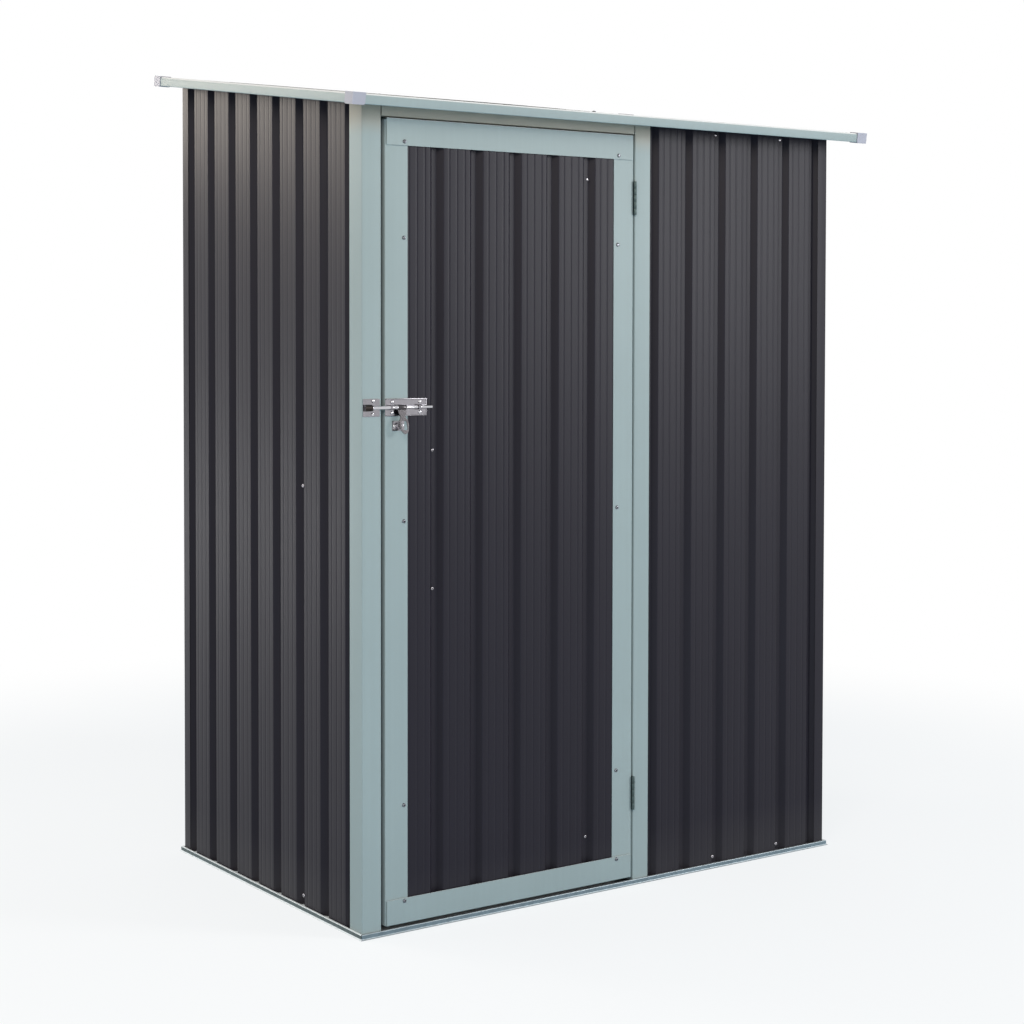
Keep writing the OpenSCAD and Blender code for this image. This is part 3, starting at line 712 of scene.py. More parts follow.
@dataclass
class RibbedSheets:
    """Roll-formed wall, roof and door sheets, in millimetres.

    Each sheet is one line of grooves and beads, rounded at every bend, drawn out along its run.
    """

    sizes: ShedSizes
    finishes: Finishes
    pitch: float = 100.0
    groove_open: float = 33.0
    groove_floor: float = 13.0
    groove_depth: float = 12.0
    bead_w: float = 6.0
    bead_depth: float = 0.5
    bead_gap: float = 19.5
    bend_r: float = 3.2
    bead_r: float = 7.0
    fold_r: float = 2.0
    roof_inset: float = 7.0
    # The ends lie behind the trims' flanges, and the left sheet is sprung up between its edges
    roof_end: float = 27.0
    roof_bow: float = 2.6
    side_first: float = 49.0
    front_first: float = 10.0
    door_first: float = 28.5

    def centred(self, middle: float) -> float:
        """First groove of a wall or roof whose ribs lie evenly about its middle."""
        return middle - self.pitch * (math.floor(middle / self.pitch) - 0.5)

    def bead_bends(self, middle: float, low: float, high: float) -> list[Bend]:
        """Bends of the three beads on a flat.

        Args:
            middle: Middle of the flat.
            low: Limit below which no bead lies.
            high: Limit above which no bead lies.

        Returns:
            Bends in the order of the sheet's run.
        """
        half = self.bead_w / 2
        line = ((-half, 0.0), (0.0, self.bead_depth), (half, 0.0))
        bends: list[Bend] = []
        for c in (middle - self.bead_gap, middle, middle + self.bead_gap):
            if c - self.bead_w > low and c + self.bead_w < high:
                bends += [(c + a, d, self.bead_r) for a, d in line]
        return bends

    def face_bends(self, first: float, low: float, high: float) -> list[Bend]:
        """Bends of a sheet's face between its two edges.

        Args:
            first: Place of the first groove.
            low: Near edge of the sheet.
            high: Far edge of the sheet.

        Returns:
            Bends of the whole face, edges included.
        """
        half_open, half_floor, deep = self.groove_open / 2, self.groove_floor / 2, self.groove_depth
        line = ((-half_open, 0.0), (-half_floor, deep), (half_floor, deep), (half_open, 0.0))
        grooves = [first + k * self.pitch for k in range(int((high - first) / self.pitch) + 1)]
        centres = [c for c in grooves if c - half_open >= low and c + half_open <= high]
        bends: list[Bend] = [(low, 0.0, 0.0)]
        bends += self.bead_bends(centres[0] - self.pitch / 2, low, centres[0] - half_open)
        for c in centres:
            bends += [(c + a, d, self.bend_r) for a, d in line]
            bends += self.bead_bends(c + self.pitch / 2, c, high - self.sizes.lap)
        bends.append((high, 0.0, 0.0))
        return bends

    def sheet(self, node: str, body: str, bends: Sequence[Bend], place: Place) -> None:
        """Draws a bent line out to a sheet that stands for a CAD node.

        Args:
            node: CAD node that the sheet replaces.
            body: CAD body that it rides on.
            bends: Bends of the sheet's face.
            place: Gives the point for a place on the line, at end 0 or end 1 of the run.
        """
        paints = (self.finishes.by_slot[Slot.SHEET], self.finishes.back)
        roll(node, body, paints, self.sizes.sheet_t, [(bends, place)])

    def wall(self, origin: Point2, along: Point2, inward: Point2) -> Place:
        """Placing rule of an upright sheet.

        Args:
            origin: Point on the sheet's face line, in plan.
            along: Way that the line runs, in plan.
            inward: Way to the sheet's back, in plan.

        Returns:
            The rule that the sheet asks for.
        """
        def place(a: float, d: float, end: int) -> Vector:
            """Point on the wall in the base rail's channel, or under the roof."""
            x = origin[0] + along[0] * a + inward[0] * d
            y = origin[1] + along[1] * a + inward[1] * d
            z = self.sizes.wall_top_z(y) if end else self.sizes.seat_z
            return Vector((x, y, z)) * MM
        return place

    def roof(self, low: float, high: float, top: float, bow: float) -> Place:
        """Placing rule of a roof sheet.

        Args:
            low: Left edge of the sheet.
            high: Right edge of the sheet.
            top: Height of its face at the edges.
            bow: How much higher it stands half way across.

        Returns:
            The rule that the sheet asks for.
        """
        s = self.sizes

        def place(a: float, d: float, end: int) -> Vector:
            """Point on the roof at its front end, or at its back end."""
            part = max(0.0, min(1.0, (a - low) / (high - low)))
            v = s.roof_l - self.roof_end if end else self.roof_end
            return s.on_roof(a - s.roof_w / 2, v, top + bow * math.sin(math.pi * part) - d)
        return place

    def build_walls(self) -> None:
        """Builds the five wall sheets."""
        s = self.sizes
        x0, x1, y0, y1 = s.x_left, -s.x_left, s.y_front, s.y_back
        edge, middle, far = s.skin - s.sheet_t, s.wall_w / 2, s.wall_d - s.skin - s.sheet_t
        side, front, back = self.side_first, s.jamb_x1 + self.front_first, self.centred(middle)
        corner = s.wall_w - s.skin - s.sheet_deep
        rows = (
            ("left_wall_sheet", side, s.skin, far, CornerFold.NONE,
             self.wall((x0 + s.skin, y0), (0, 1), (1, 0))),
            ("right_wall_sheet", side, edge, far - s.sheet_t, CornerFold.NEAR,
             self.wall((x1 - s.skin, y0), (0, 1), (-1, 0))),
            ("front_wall_sheet", front, s.front_sheet_x0, corner, CornerFold.NONE,
             self.wall((x0, y0 + s.skin), (1, 0), (0, 1))),
            ("back_wall_sheet_left", back, edge, middle + s.lap, CornerFold.NEAR,
             self.wall((x0, y1 - s.skin), (1, 0), (0, -1))),
            ("back_wall_sheet_right", back, middle, s.wall_w - edge, CornerFold.FAR,
             self.wall((x0, y1 - s.skin - s.sheet_t), (1, 0), (0, -1))),
        )
        for node, first, low, high, fold, place in rows:
            bends = self.face_bends(first, low, high)
            if fold is CornerFold.NEAR:
                bends[:1] = [(low, s.corner_fold, 0.0), (low, 0.0, self.fold_r)]
            elif fold is CornerFold.FAR:
                bends[-1:] = [(high, 0.0, self.fold_r), (high, s.corner_fold, 0.0)]
            self.sheet(node, "shed", bends, place)

    def build_roof(self) -> None:
        """Builds the two roof sheets, the left one lapped over the right one."""
        s = self.sizes
        middle, top = s.roof_w / 2, s.roof_sheet_top
        for node, low, high, height, bow in (
            ("roof_sheet_left", self.roof_inset, middle + s.lap, top, self.roof_bow),
            ("roof_sheet_right", middle, s.roof_w - self.roof_inset, top - s.sheet_t, 0.0),
        ):
            bends = self.face_bends(self.centred(middle), low, high)
            self.sheet(node, "shed", bends, self.roof(low, high, height, bow))

    def build_door(self) -> None:
        """Builds the sheet behind the door's frame."""
        s = self.sizes
        low, high = s.door_x0 + s.frame_t, s.door_x0 + s.door_w - s.frame_t

        def place(a: float, d: float, end: int) -> Vector:
            """Point on the door at its foot, or at its head."""
            z = s.door_z0 + (s.door_h - s.frame_t if end else s.frame_t)
            return Vector((s.x_left + a, s.y_front + s.frame_t + d, z)) * MM
        self.sheet("door_sheet", "door", self.face_bends(s.door_x0 + self.door_first, low, high), place)

    def build(self) -> None:
        """Builds all the sheets."""
        self.build_walls()
        self.build_roof()
        self.build_door()


@dataclass
class FoldedFrame:
    """Folded steel of the post, the jamb, the header and the door's frame, in millimetres."""

    sizes: ShedSizes
    finishes: Finishes
    post_front: float = 45.0
    post_side: float = 47.0
    jamb_return: float = 30.0
    header_return: float = 20.0
    stile_w: float = 55.0
    door_rail_w: float = 52.0
    door_edge: float = 20.0
    rail_inset: float = 3.0
    header_set_back: float = 0.8
    # The header is cut short of the post, which leaves a dark line between them
    header_gap: float = 3.4
    # The top rail reaches up past the stiles, so that the gap under the header is narrow
    rail_up: float = 2.5
    fold_r: float = 1.8

    def fold(self, before: Point2, corner: Point2, after: Point2) -> list[Bend]:
        """Bends of an angle, from one edge round the corner to the other edge."""
        return [(*before, 0.0), (*corner, self.fold_r), (*after, 0.0)]

    def upright(self, plan: Sequence[Bend], low: float, high: Optional[float] = None) -> Strip:
        """Makes an upright strip.

        Args:
            plan: Bends in plan.
            low: Height of its foot.
            high: Height of its head, or None where it runs up to the roof.

        Returns:
            The strip.
        """
        def place(x: float, y: float, end: int) -> Vector:
            """Point at the foot or at the head."""
            top = self.sizes.wall_top_z(y) if high is None else high
            return Vector((x, y, top if end else low)) * MM
        return plan, place

    def level(self, section: Sequence[Bend], near: float, far: float) -> Strip:
        """Makes a level strip along X, cut off under the roof.

        Args:
            section: Bends as depth and height.
            near: Left end.
            far: Right end.

        Returns:
            The strip.
        """
        def place(y: float, z: float, end: int) -> Vector:
            """Point at the left or at the right end."""
            return Vector((far if end else near, y, min(z, self.sizes.wall_top_z(y)))) * MM
        return section, place

    def finish(self, node: str, body: str, *strips: Strip) -> None:
        """Puts painted strips in their node's place."""
        # The frame pieces on the shed take the warm painted bounce light under the eave
        paint = self.finishes.eave_lit if body == "shed" else self.finishes.by_slot[Slot.TRIM]
        roll(node, body, (paint, paint), self.sizes.frame_t, strips)

    def build_opening(self) -> None:
        """Builds the post, the jamb and the header round the doorway."""
        s = self.sizes
        x0, y0 = s.x_left, s.y_front
        plan = self.fold((x0, y0 + self.post_side), (x0, y0), (x0 + self.post_front, y0))
        self.finish("corner_post", "shed", self.upright(plan, s.seat_z))
        near, far = x0 + s.jamb_x0, x0 + s.jamb_x1
        angle = self.fold((near, y0 + self.jamb_return), (near, y0), (far, y0))
        flat = [(near, y0, 0.0), (far, y0, 0.0)]
        low, high = self.upright(angle, s.seat_z, s.header_z0), self.upright(flat, s.header_z0)
        self.finish("door_jamb", "shed", low, high)
        # Drawn far too tall: a level strip is cut off under the roof
        y1, tall = y0 + s.frame_t + self.header_set_back, 2 * s.front_top_z
        section = self.fold((y1, tall), (y1, s.header_z0), (y1 + self.header_return, s.header_z0))
        left = x0 + self.post_front + self.header_gap
        self.finish("door_header", "shed", self.level(section, left, x0 + s.front_sheet_x0))

    def build_door(self) -> None:
        """Builds the door's stiles and the rails that lap over them."""
        s = self.sizes
        y0, y1 = s.y_front, s.y_front - s.frame_t - s.rail_off
        near, far = s.x_left + s.door_x0, s.x_left + s.door_x0 + s.door_w
        low, high = s.door_z0, s.door_z0 + s.door_h
        left = self.fold((near, y0 + self.door_edge), (near, y0), (near + self.stile_w, y0))
        right = self.fold((far - self.stile_w, y0), (far, y0), (far, y0 + self.door_edge))
        for node, plan in (("door_stile_left", left), ("door_stile_right", right)):
            self.finish(node, "door", self.upright(plan, low + s.frame_t, high - s.frame_t))
        bottom = self.fold((y1, low + self.door_rail_w), (y1, low), (y1 + self.door_edge, low))
        head = high + self.rail_up
        top = self.fold((y1 + self.door_edge, head), (y1, head), (y1, high - self.door_rail_w))
        for node, section in (("door_rail_bottom", bottom), ("door_rail_top", top)):
            self.finish(node, "door", self.level(section, near + self.rail_inset, far - self.rail_inset))

    def build(self) -> None:
        """Builds the whole frame."""
        self.build_opening()
        self.build_door()


@dataclass
class RoofTrims:
    """Channel trims round the roof's edge with a broad round on top, in millimetres."""

    sizes: ShedSizes
    finishes: Finishes
    trim_h: float = 21.0
    trim_top: float = 24.0
    trim_bottom: float = 14.0
    top_r: float = 5.0
    foot_r: float = 1.8
    steps: int = 8

    def rule(self, side: Side) -> Place:
        """Placing rule of one edge of the roof.

        Args:
            side: Edge that the trim covers.

        Returns:
            The rule that draw_out asks for.
        """
        s = self.sizes
        half, inset = s.roof_w / 2 - s.cap_wall, s.cap_wall + self.trim_top

        def place(y: float, w: float, end: int) -> Vector:
            """Point at one end of the trim, y behind its face and w above its foot."""
            across = half if end else -half
            along = s.roof_l - inset if end else inset
            points = {
                Side.FRONT: (across, s.cap_wall + y),
                Side.BACK: (across, s.roof_l - s.cap_wall - y),
                Side.LEFT: (y - half, along),
                Side.RIGHT: (half - y, along),
            }
            u, v = points[side]
            return s.on_roof(u, v, s.cap_plate + w)
        return place

    def build(self) -> None:
        """Builds the four trims."""
        section: list[Bend] = [
            (self.trim_top, self.trim_h, 0.0), (0.0, self.trim_h, self.top_r),
            (0.0, 0.0, self.foot_r), (self.trim_bottom, 0.0, 0.0),
        ]
        paint, depth = self.finishes.by_slot[Slot.TRIM], self.sizes.frame_t
        for side in Side:
            node, strip = f"roof_trim_{side.name.lower()}", (section, self.rule(side))
            roll(node, "shed", (paint, paint), depth, [strip], self.steps)


@dataclass
class BaseRails:
    """Galvanised rails with a channel for the walls, mitred at the corners, in millimetres."""

    sizes: ShedSizes
    finishes: Finishes
    rail_out: float = 6.0
    rail_in: float = 16.0
    rail_foot: float = 3.0
    rail_lip: float = 2.0
    rail_clear: float = 0.3
    rail_t: float = 1.2
    mitre_gap: float = 0.9
    ledge_r: float = 1.5
    lip_r: float = 2.0

    def rule(self, side: Side) -> Place:
        """Placing rule of the rail under one wall.

        Args:
            side: Wall that it carries.

        Returns:
            The rule that draw_out asks for.
        """
        s = self.sizes
        middle = (s.y_front + s.y_back) / 2
        out_x, out_y = side.value[0], side.value[1]
        half = (s.wall_d if out_x else s.wall_w) / 2 - self.mitre_gap
        face_x = out_x * s.wall_w / 2
        face_y = middle + out_y * s.wall_d / 2

        def place(out: float, z: float, end: int) -> Vector:
            """Point at one mitred end of the rail."""
            reach = (half + out) if end else -(half + out)
            x = face_x + out_x * out - out_y * reach
            y = face_y + out_y * out + out_x * reach
            return Vector((x, y, max(z, 0.0))) * MM
        return place

    def build(self) -> None:
        """Builds the four rails."""
        reach, high, seat = self.rail_out + self.rail_foot, self.sizes.rail_h, self.sizes.seat_z
        section: list[Bend] = [
            (reach, 0.0, 0.0), (self.rail_out, self.rail_lip, self.lip_r),
            (self.rail_out, high, self.ledge_r),
            (self.rail_clear, high, self.ledge_r), (self.rail_clear, seat, 0.0),
            (-self.rail_in, seat, self.ledge_r), (-self.rail_in, 0.0, 0.0),
        ]
        for side in Side:
            node = f"base_rail_{side.name.lower()}"
            zinc = self.finishes.of(node, Slot.GALVANISED)
            roll(node, "shed", (zinc, zinc), self.rail_t, [(section, self.rule(side))])


@dataclass
class FrameDress:
    """Finishes and broken edges of the CAD nodes, in millimetres."""

    finishes: Finishes
    fold_edge: float = 0.35
    cap_edge: float = 1.0
    plate_edge: float = 0.3
    weld: float = 0.02
    edge_deg: float = 40.0
    edge_faces: int = 2

    def soften(self, part: bpy.types.Object, width: float) -> None:
        """Breaks the sharp edges of a CAD node, as a press or a mould does.

        Args:
            part: Object of the CAD node.
            width: Width of the broken edge.
        """
        weld = part.modifiers.new("weld", "WELD")
        weld.merge_threshold = self.weld * MM
        bevel = part.modifiers.new("edge", "BEVEL")
        bevel.width = width * MM
        bevel.segments = self.edge_faces
        bevel.limit_method = "ANGLE"
        bevel.angle_limit = math.radians(self.edge_deg)
        bevel.harden_normals = True

    def build(self) -> None:
        """Dresses every CAD node and breaks the edges of its galvanised, moulded and plated nodes."""
        widths = {
            Slot.GALVANISED: self.fold_edge, Slot.CAP: self.cap_edge,
            Slot.ZINC: self.plate_edge, Slot.DARK_ZINC: self.plate_edge,
        }
        slots = {row["node"]: Slot(row["material_slot"]) for row in frame["record"]["subparts"]}
        for node in frame["nodes"]:
            part, slot = frame["nodes"][node], slots[node]
            part.data.materials.clear()
            part.data.materials.append(self.finishes.of(node, slot))
            if slot in widths:
                self.soften(part, widths[slot])
            LOG.info("%s: CAD node dressed as %s", node, slot.value)


def around(ring: list) -> list[tuple]:
    """Pairs of neighbours round a closed ring."""
    return list(zip(ring, ring[1:] + ring[:1]))


@dataclass(frozen=True)
class Screw:
    """Pan-head self-tapping screw with a cross recess, in millimetres."""

    head_r: float = 4.2
    head_h: float = 2.4
    top_r: float = 2.5
    cross_l: float = 1.9
    cross_w: float = 0.55
    cross_deep: float = 1.3
    sides: int = 20
    # Shares of the radius with heights at the rim, shares of radius and height at the shoulder
    rim: ClassVar[tuple[Point2, ...]] = ((0.94, 0.0), (1.0, 0.35), (0.97, 0.9))
    shoulder: ClassVar[Point2] = (0.86, 0.68)
    # The recess narrows to this share of its mouth
    taper: ClassVar[float] = 0.8

    def profile(self) -> list[Point2]:
        """Half section of the head from its seat to its flat top."""
        edge = [(self.head_r * share, z) for share, z in self.rim]
        shoulder = (self.head_r * self.shoulder[0], self.head_h * self.shoulder[1])
        return [*edge, shoulder, (self.top_r, self.head_h)]

    def outline(self) -> list[Point2]:
        """Outline of the cross, one arm after the other."""
        points: list[Point2] = []
        arm = [(self.cross_w, self.cross_w), (self.cross_w, self.cross_l), (-self.cross_w, self.cross_l)]
        for _ in range(4):
            points += arm
            arm = [(-y, x) for x, y in arm]
        return points

    def add_to(self, shape: Shape, seat: Vector, out: Vector, turn_deg: float) -> None:
        """Adds one screw head to a shape.

        Args:
            shape: Shape that takes the head.
            seat: Point of the surface under the head, in metres.
            out: Way that the head stands out.
            turn_deg: Turn of the recess about the screw.
        """
        spin = Matrix.Rotation(math.radians(turn_deg), 4, "Z")
        stand = Matrix.Translation(seat) @ out.to_track_quat("Z", "Y").to_matrix().to_4x4() @ spin

        def put(x: float, y: float, z: float) -> bmesh.types.BMVert:
            """New vertex at a place on the head."""
            return shape.verts.new(stand @ (Vector((x, y, z)) * MM))

        def join(low: list, high: list) -> None:
            """Faces between two rings."""
            for (a, b), (d, c) in zip(around(low), around(high)):
                shape.faces.new((a, b, c, d))
        angles = [2 * math.pi * k / self.sides for k in range(self.sides)]
        rings = [[put(r * math.cos(a), r * math.sin(a), z) for a in angles] for r, z in self.profile()]
        for low, high in zip(rings, rings[1:]):
            join(low, high)
        mouth = [put(x, y, self.head_h) for x, y in self.outline()]
        deep = self.head_h - self.cross_deep
        floor = [put(x * self.taper, y * self.taper, deep) for x, y in self.outline()]
        join(mouth, floor)
        shape.faces.new(floor)
        edges = [shape.edges.get(pair) for ring in (mouth, rings[-1]) for pair in around(ring)]
        bmesh.ops.triangle_fill(shape, use_beauty=True, edges=edges)


PAN_SCREW = Screw()
PANEL_SCREW = Screw(3.4, 1.9, 2.0, 1.5, 0.45, 1.0, 18)
LOCK_SCREW = Screw(3.7, 2.5, 2.1, 1.5, 0.45, 1.1, 18)
LEAF_SCREW = Screw(2.7, 0.6, 2.2, 1.2, 0.4, 0.5, 18)


@dataclass
class Fixings:
    """Screws that hold the sheets, the door's frame and the lock, in millimetres.

    Places on the front and back run from the left wall's face; places on the sides run from
    the front wall's face.
    """

    sizes: ShedSizes
    finishes: Finishes
    keeper: tuple[Point2, ...] = ((26.0, 1091.5), (25.0, 1064.5))
    bolt_plate: tuple[Point2, ...] = ((71.5, 1088.5), (71.5, 1067.0), (139.0, 1088.5), (139.0, 1067.0))
    staple: tuple[Point2, ...] = ((77.0, 1040.0), (96.6, 1040.0))
    leaf_x: Point2 = (708.2, 710.8)
    leaf_y: float = 12.5
    leaf_z: tuple[float, ...] = (180.0, 205.0, 230.0, 1501.0, 1526.0, 1551.0)
    stile_x: Point2 = (101.0, 663.0)
    stile_z: tuple[float, ...] = (1422.5, 844.5, 261.0)
    rail_z: tuple[float, ...] = (1617.5, 63.5)
    door_panel: tuple[Point2, ...] = ((171.5, 988.0), (171.5, 701.5), (577.0, 1562.0), (577.0, 126.0))
    front_x: tuple[float, ...] = (950.5, 1151.0)
    side_y: tuple[float, ...] = (235.0,)
    back_x: tuple[float, ...] = (199.0, 399.0, 907.0, 1107.0)
    foot_z: float = 25.0
    side_foot_z: float = 32.0
    mid_z: float = 906.0
    top_drop: float = 15.0
    edge_u: float = -101.0
    edge_v: float = 14.0
    flange_top: float = 22.8
    turn_step_deg: float = 37.0

    def seat(self, side: Side, along: float, z: float, depth: float) -> tuple[Vector, Vector]:
        """Place of a screw on a wall.

        Args:
            side: Wall that carries the screw.
            along: Place along the wall.
            z: Height.
            depth: How far the surface lies behind the wall's outer plane.

        Returns:
            The point in metres, and the way out of the wall.
        """
        s = self.sizes
        points = {
            Side.FRONT: (s.x_left + along, s.y_front + depth, z),
            Side.BACK: (s.x_left + along, s.y_back - depth, z),
            Side.LEFT: (s.x_left + depth, s.y_front + along, z),
            Side.RIGHT: (-s.x_left - depth, s.y_front + along, z),
        }
        return Vector(points[side]) * MM, Vector(side.value)

    def fix(
        self, name: str, body: str, screw: Screw, metal: Material, places: Iterable[tuple[Vector, Vector]]
    ) -> None:
        """Makes one piece of a group of screws.

        Args:
            name: Name of the piece.
            body: CAD body that it rides on.
            screw: Screw that is repeated.
            metal: Finish of the screws.
            places: Seat and outward way of each screw.
        """
        shape = bmesh.new()
        for number, (seat, out) in enumerate(places):
            screw.add_to(shape, seat, out, number * self.turn_step_deg)
        place_piece(shape, name, body, (metal,))

    def build_door(self) -> None:
        """Builds the screws of the door's frame and sheet."""
        s = self.sizes
        places = [
            self.seat(Side.FRONT, x, z, depth) for x in self.stile_x
            for heights, depth in ((self.stile_z, 0.0), (self.rail_z, -s.frame_t - s.rail_off))
            for z in heights
        ]
        self.fix("door_frame_screws", "door", PAN_SCREW, self.finishes.screws, places)
        places = [self.seat(Side.FRONT, x, z, s.frame_t) for x, z in self.door_panel]
        self.fix("door_panel_screws", "door", PANEL_SCREW, self.finishes.plated, places)

    def build_walls(self) -> None:
        """Builds the screws of the four walls."""
        s = self.sizes
        back_top = s.wall_top_z(s.y_back) - self.top_drop
        for side, row, heights in (
            (Side.FRONT, self.front_x, (self.foot_z, s.front_top_z - self.top_drop)),
            (Side.LEFT, self.side_y, (self.side_foot_z, self.mid_z)),
            (Side.RIGHT, self.side_y, (self.side_foot_z, self.mid_z)),
            (Side.BACK, self.back_x, (self.foot_z, self.mid_z, back_top)),
        ):
            # The back's second sheet lies under the first one
            under = {a: s.sheet_t if side is Side.BACK and a > s.wall_w / 2 else 0.0 for a in row}
            places = [self.seat(side, a, z, s.skin + under[a]) for a in row for z in heights]
            self.fix(f"{side.name.lower()}_wall_screws", "shed", PAN_SCREW, self.finishes.plated, places)

    def build_roof(self) -> None:
        """Builds the screws that hold the roof's left sheet to the front and back trims."""
        s = self.sizes
        out = s.on_roof(0.0, 0.0, 1.0 / MM) - s.on_roof(0.0, 0.0, 0.0)
        ends = (self.edge_v, s.roof_l - self.edge_v)
        places = [(s.on_roof(self.edge_u, v, self.flange_top), out) for v in ends]
        self.fix("roof_edge_screws", "shed", PAN_SCREW, self.finishes.screws, places)

    def build_lock(self) -> None:
        """Builds the screws of the bolt's plate, its keeper and the staple."""
        for name, body, points in (
            ("bolt_keeper_screws", "shed", self.keeper),
            ("bolt_plate_screws", "door", self.bolt_plate),
            ("hasp_staple_screws", "door", self.staple),
        ):
            places = [self.seat(Side.FRONT, x, z, -self.sizes.lock_plate_t) for x, z in points]
            self.fix(name, body, LOCK_SCREW, self.finishes.chrome, places)

    def build_hinges(self) -> None:
        """Builds the flush screws of the hinge leaves, seen when the door is open."""
        s = self.sizes
        for name, body, x, side in (
            ("door_hinge_screws", "door", self.leaf_x[0], Side.RIGHT),
            ("frame_hinge_screws", "shed", self.leaf_x[1], Side.LEFT),
        ):
            out = Vector(side.value)
            places = [(Vector((s.x_left + x, s.y_front + self.leaf_y, z)) * MM, out) for z in self.leaf_z]
            self.fix(name, body, LEAF_SCREW, self.finishes.screws, places)

    def build(self) -> None:
        """Builds all the screws."""
        self.build_door()
        self.build_walls()
        self.build_roof()
        self.build_lock()
        self.build_hinges()


@dataclass
class LockDetails:
    """Rolled rim of the bolt's plate and the dark strap over the keeper, whose darkness is painted shade, in
    millimetres.
    """

    sizes: ShedSizes
    finishes: Finishes
    plate_x: float = 55.0
    plate_l: float = 101.0
    plate_h: float = 36.0
    bolt_z: float = 1078.0
    bolt_out: float = 7.0
    rim_r: float = 1.1
    strap_x: Point2 = (1.5, 18.5)
    strap_r: float = 6.7
    strap_t: float = 0.5
    steps: int = 8

    def corners(self) -> list[tuple[Point2, Point2]]:
        """Corners of the rim's middle line as x and z, each with the way across the rim."""
        r = self.rim_r
        near, far = self.plate_x + r, self.plate_x + self.plate_l - r
        low, high = self.bolt_z - self.plate_h / 2 + r, self.bolt_z + self.plate_h / 2 - r
        return [
            ((near, high), (0.0, 1.0)), ((far, high), (1.0, 1.0)),
            ((far, low), (1.0, -1.0)), ((near, low), (0.0, -1.0)),
        ]

    def build_strap(self) -> None:
        """Builds the strap that is bent over the keeper's loop."""
        s = self.sizes
        seat, nose = s.y_front - s.lock_plate_t, s.y_front - self.bolt_out - self.strap_r
        high, low = self.bolt_z + self.strap_r, self.bolt_z - self.strap_r

        def place(y: float, z: float, end: int) -> Vector:
            """Point at the left or at the right end of the strap."""
            return Vector((s.x_left + self.strap_x[end], y, z)) * MM
        bends: list[Bend] = [
            (seat, high, 0.0), (nose, high, self.strap_r), (nose, low, self.strap_r), (seat, low, 0.0),
        ]
        shape = bmesh.new()
        draw_out(shape, bends, self.strap_t, place, self.steps)
        # The strap's dark colour is painted shade over the keeper's loop
        zinc = self.finishes.strap
        place_piece(shape, "bolt_keeper_strap", "shed", (zinc, zinc))

    def build_rim(self) -> None:
        """Builds the rim as one half-round run."""
        s = self.sizes
        shape = bmesh.new()
        rings = []
        for (x, z), (across_x, across_z) in self.corners():
            ring = []
            for step in range(self.steps + 1):
                angle = math.pi * step / self.steps
                side, rise = self.rim_r * math.cos(angle), self.rim_r * math.sin(angle)
                point = (
                    s.x_left + x + across_x * side, s.y_front - s.lock_plate_t - rise, z + across_z * side
                )
                ring.append(shape.verts.new(Vector(point) * MM))
            rings.append(ring)
        for one, two in zip(rings, rings[1:]):
            for i in range(self.steps):
                shape.faces.new((one[i], one[i + 1], two[i + 1], two[i]))
            shape.faces.new((one[0], one[-1], two[-1], two[0]))
        for ring in (rings[0], rings[-1]):
            shape.faces.new(ring)
        place_piece(shape, "bolt_plate_rim", "door", (self.finishes.plated,))

    def build(self) -> None:
        """Builds the rim and the strap."""
        self.build_rim()
        self.build_strap()


@dataclass(frozen=True)
class SoftBox:
    """Soft box with its place, the point that it faces, its width and height in metres, and its light."""

    name: str
    at: Point3
    aim: Point3
    size: Point2
    watts: float
    colour: str = "#ffffff"

    def build(self) -> None:
        """Adds the lamp to the scene, unseen by the camera."""
        data = bpy.data.lights.new(self.name, "AREA")
        data.shape = "RECTANGLE"
        data.size, data.size_y = self.size
        data.energy = self.watts
        data.color = linear(self.colour)[:3]
        lamp = bpy.data.objects.new(self.name, data)
        bpy.context.scene.collection.objects.link(lamp)
        lamp.location = self.at
        lamp.rotation_euler = (Vector(self.aim) - Vector(self.at)).to_track_quat("-Z", "Y").to_euler()
        lamp.visible_camera = False


WARM, COOL = "#fff3e4", "#b4d8ff"
LAMPS = (
    SoftBox("key", (-3.4, -3.4, 3.1), (0.0, 0.0, 1.0), (2.4, 1.8), 95.0, WARM),
    SoftBox("front_panel", (3.35, -4.05, 2.2), (0.2, -0.37, 1.4), (1.2, 2.2), 140.0),
    SoftBox("left_panel", (-2.95, 4.2, 3.0), (-0.65, 0.1, 1.6), (1.4, 1.2), 50.0, WARM),
    SoftBox("left_low", (-2.95, 4.2, 0.38), (-0.65, 0.1, 0.4), (1.4, 0.6), 16.0),
    SoftBox("eave_strip", (-1.48, 1.48, 1.95), (-0.68, 0.0, 1.75), (1.6, 0.3), 8.0, WARM),
    SoftBox("front_low", (-1.35, -2.2, 0.22), (-0.1, -0.4, 0.35), (1.2, 0.25), 4.5, COOL),
    SoftBox("left_fill", (-3.8, 1.8, 1.6), (-0.65, 0.0, 1.0), (1.2, 1.6), 16.0),
)


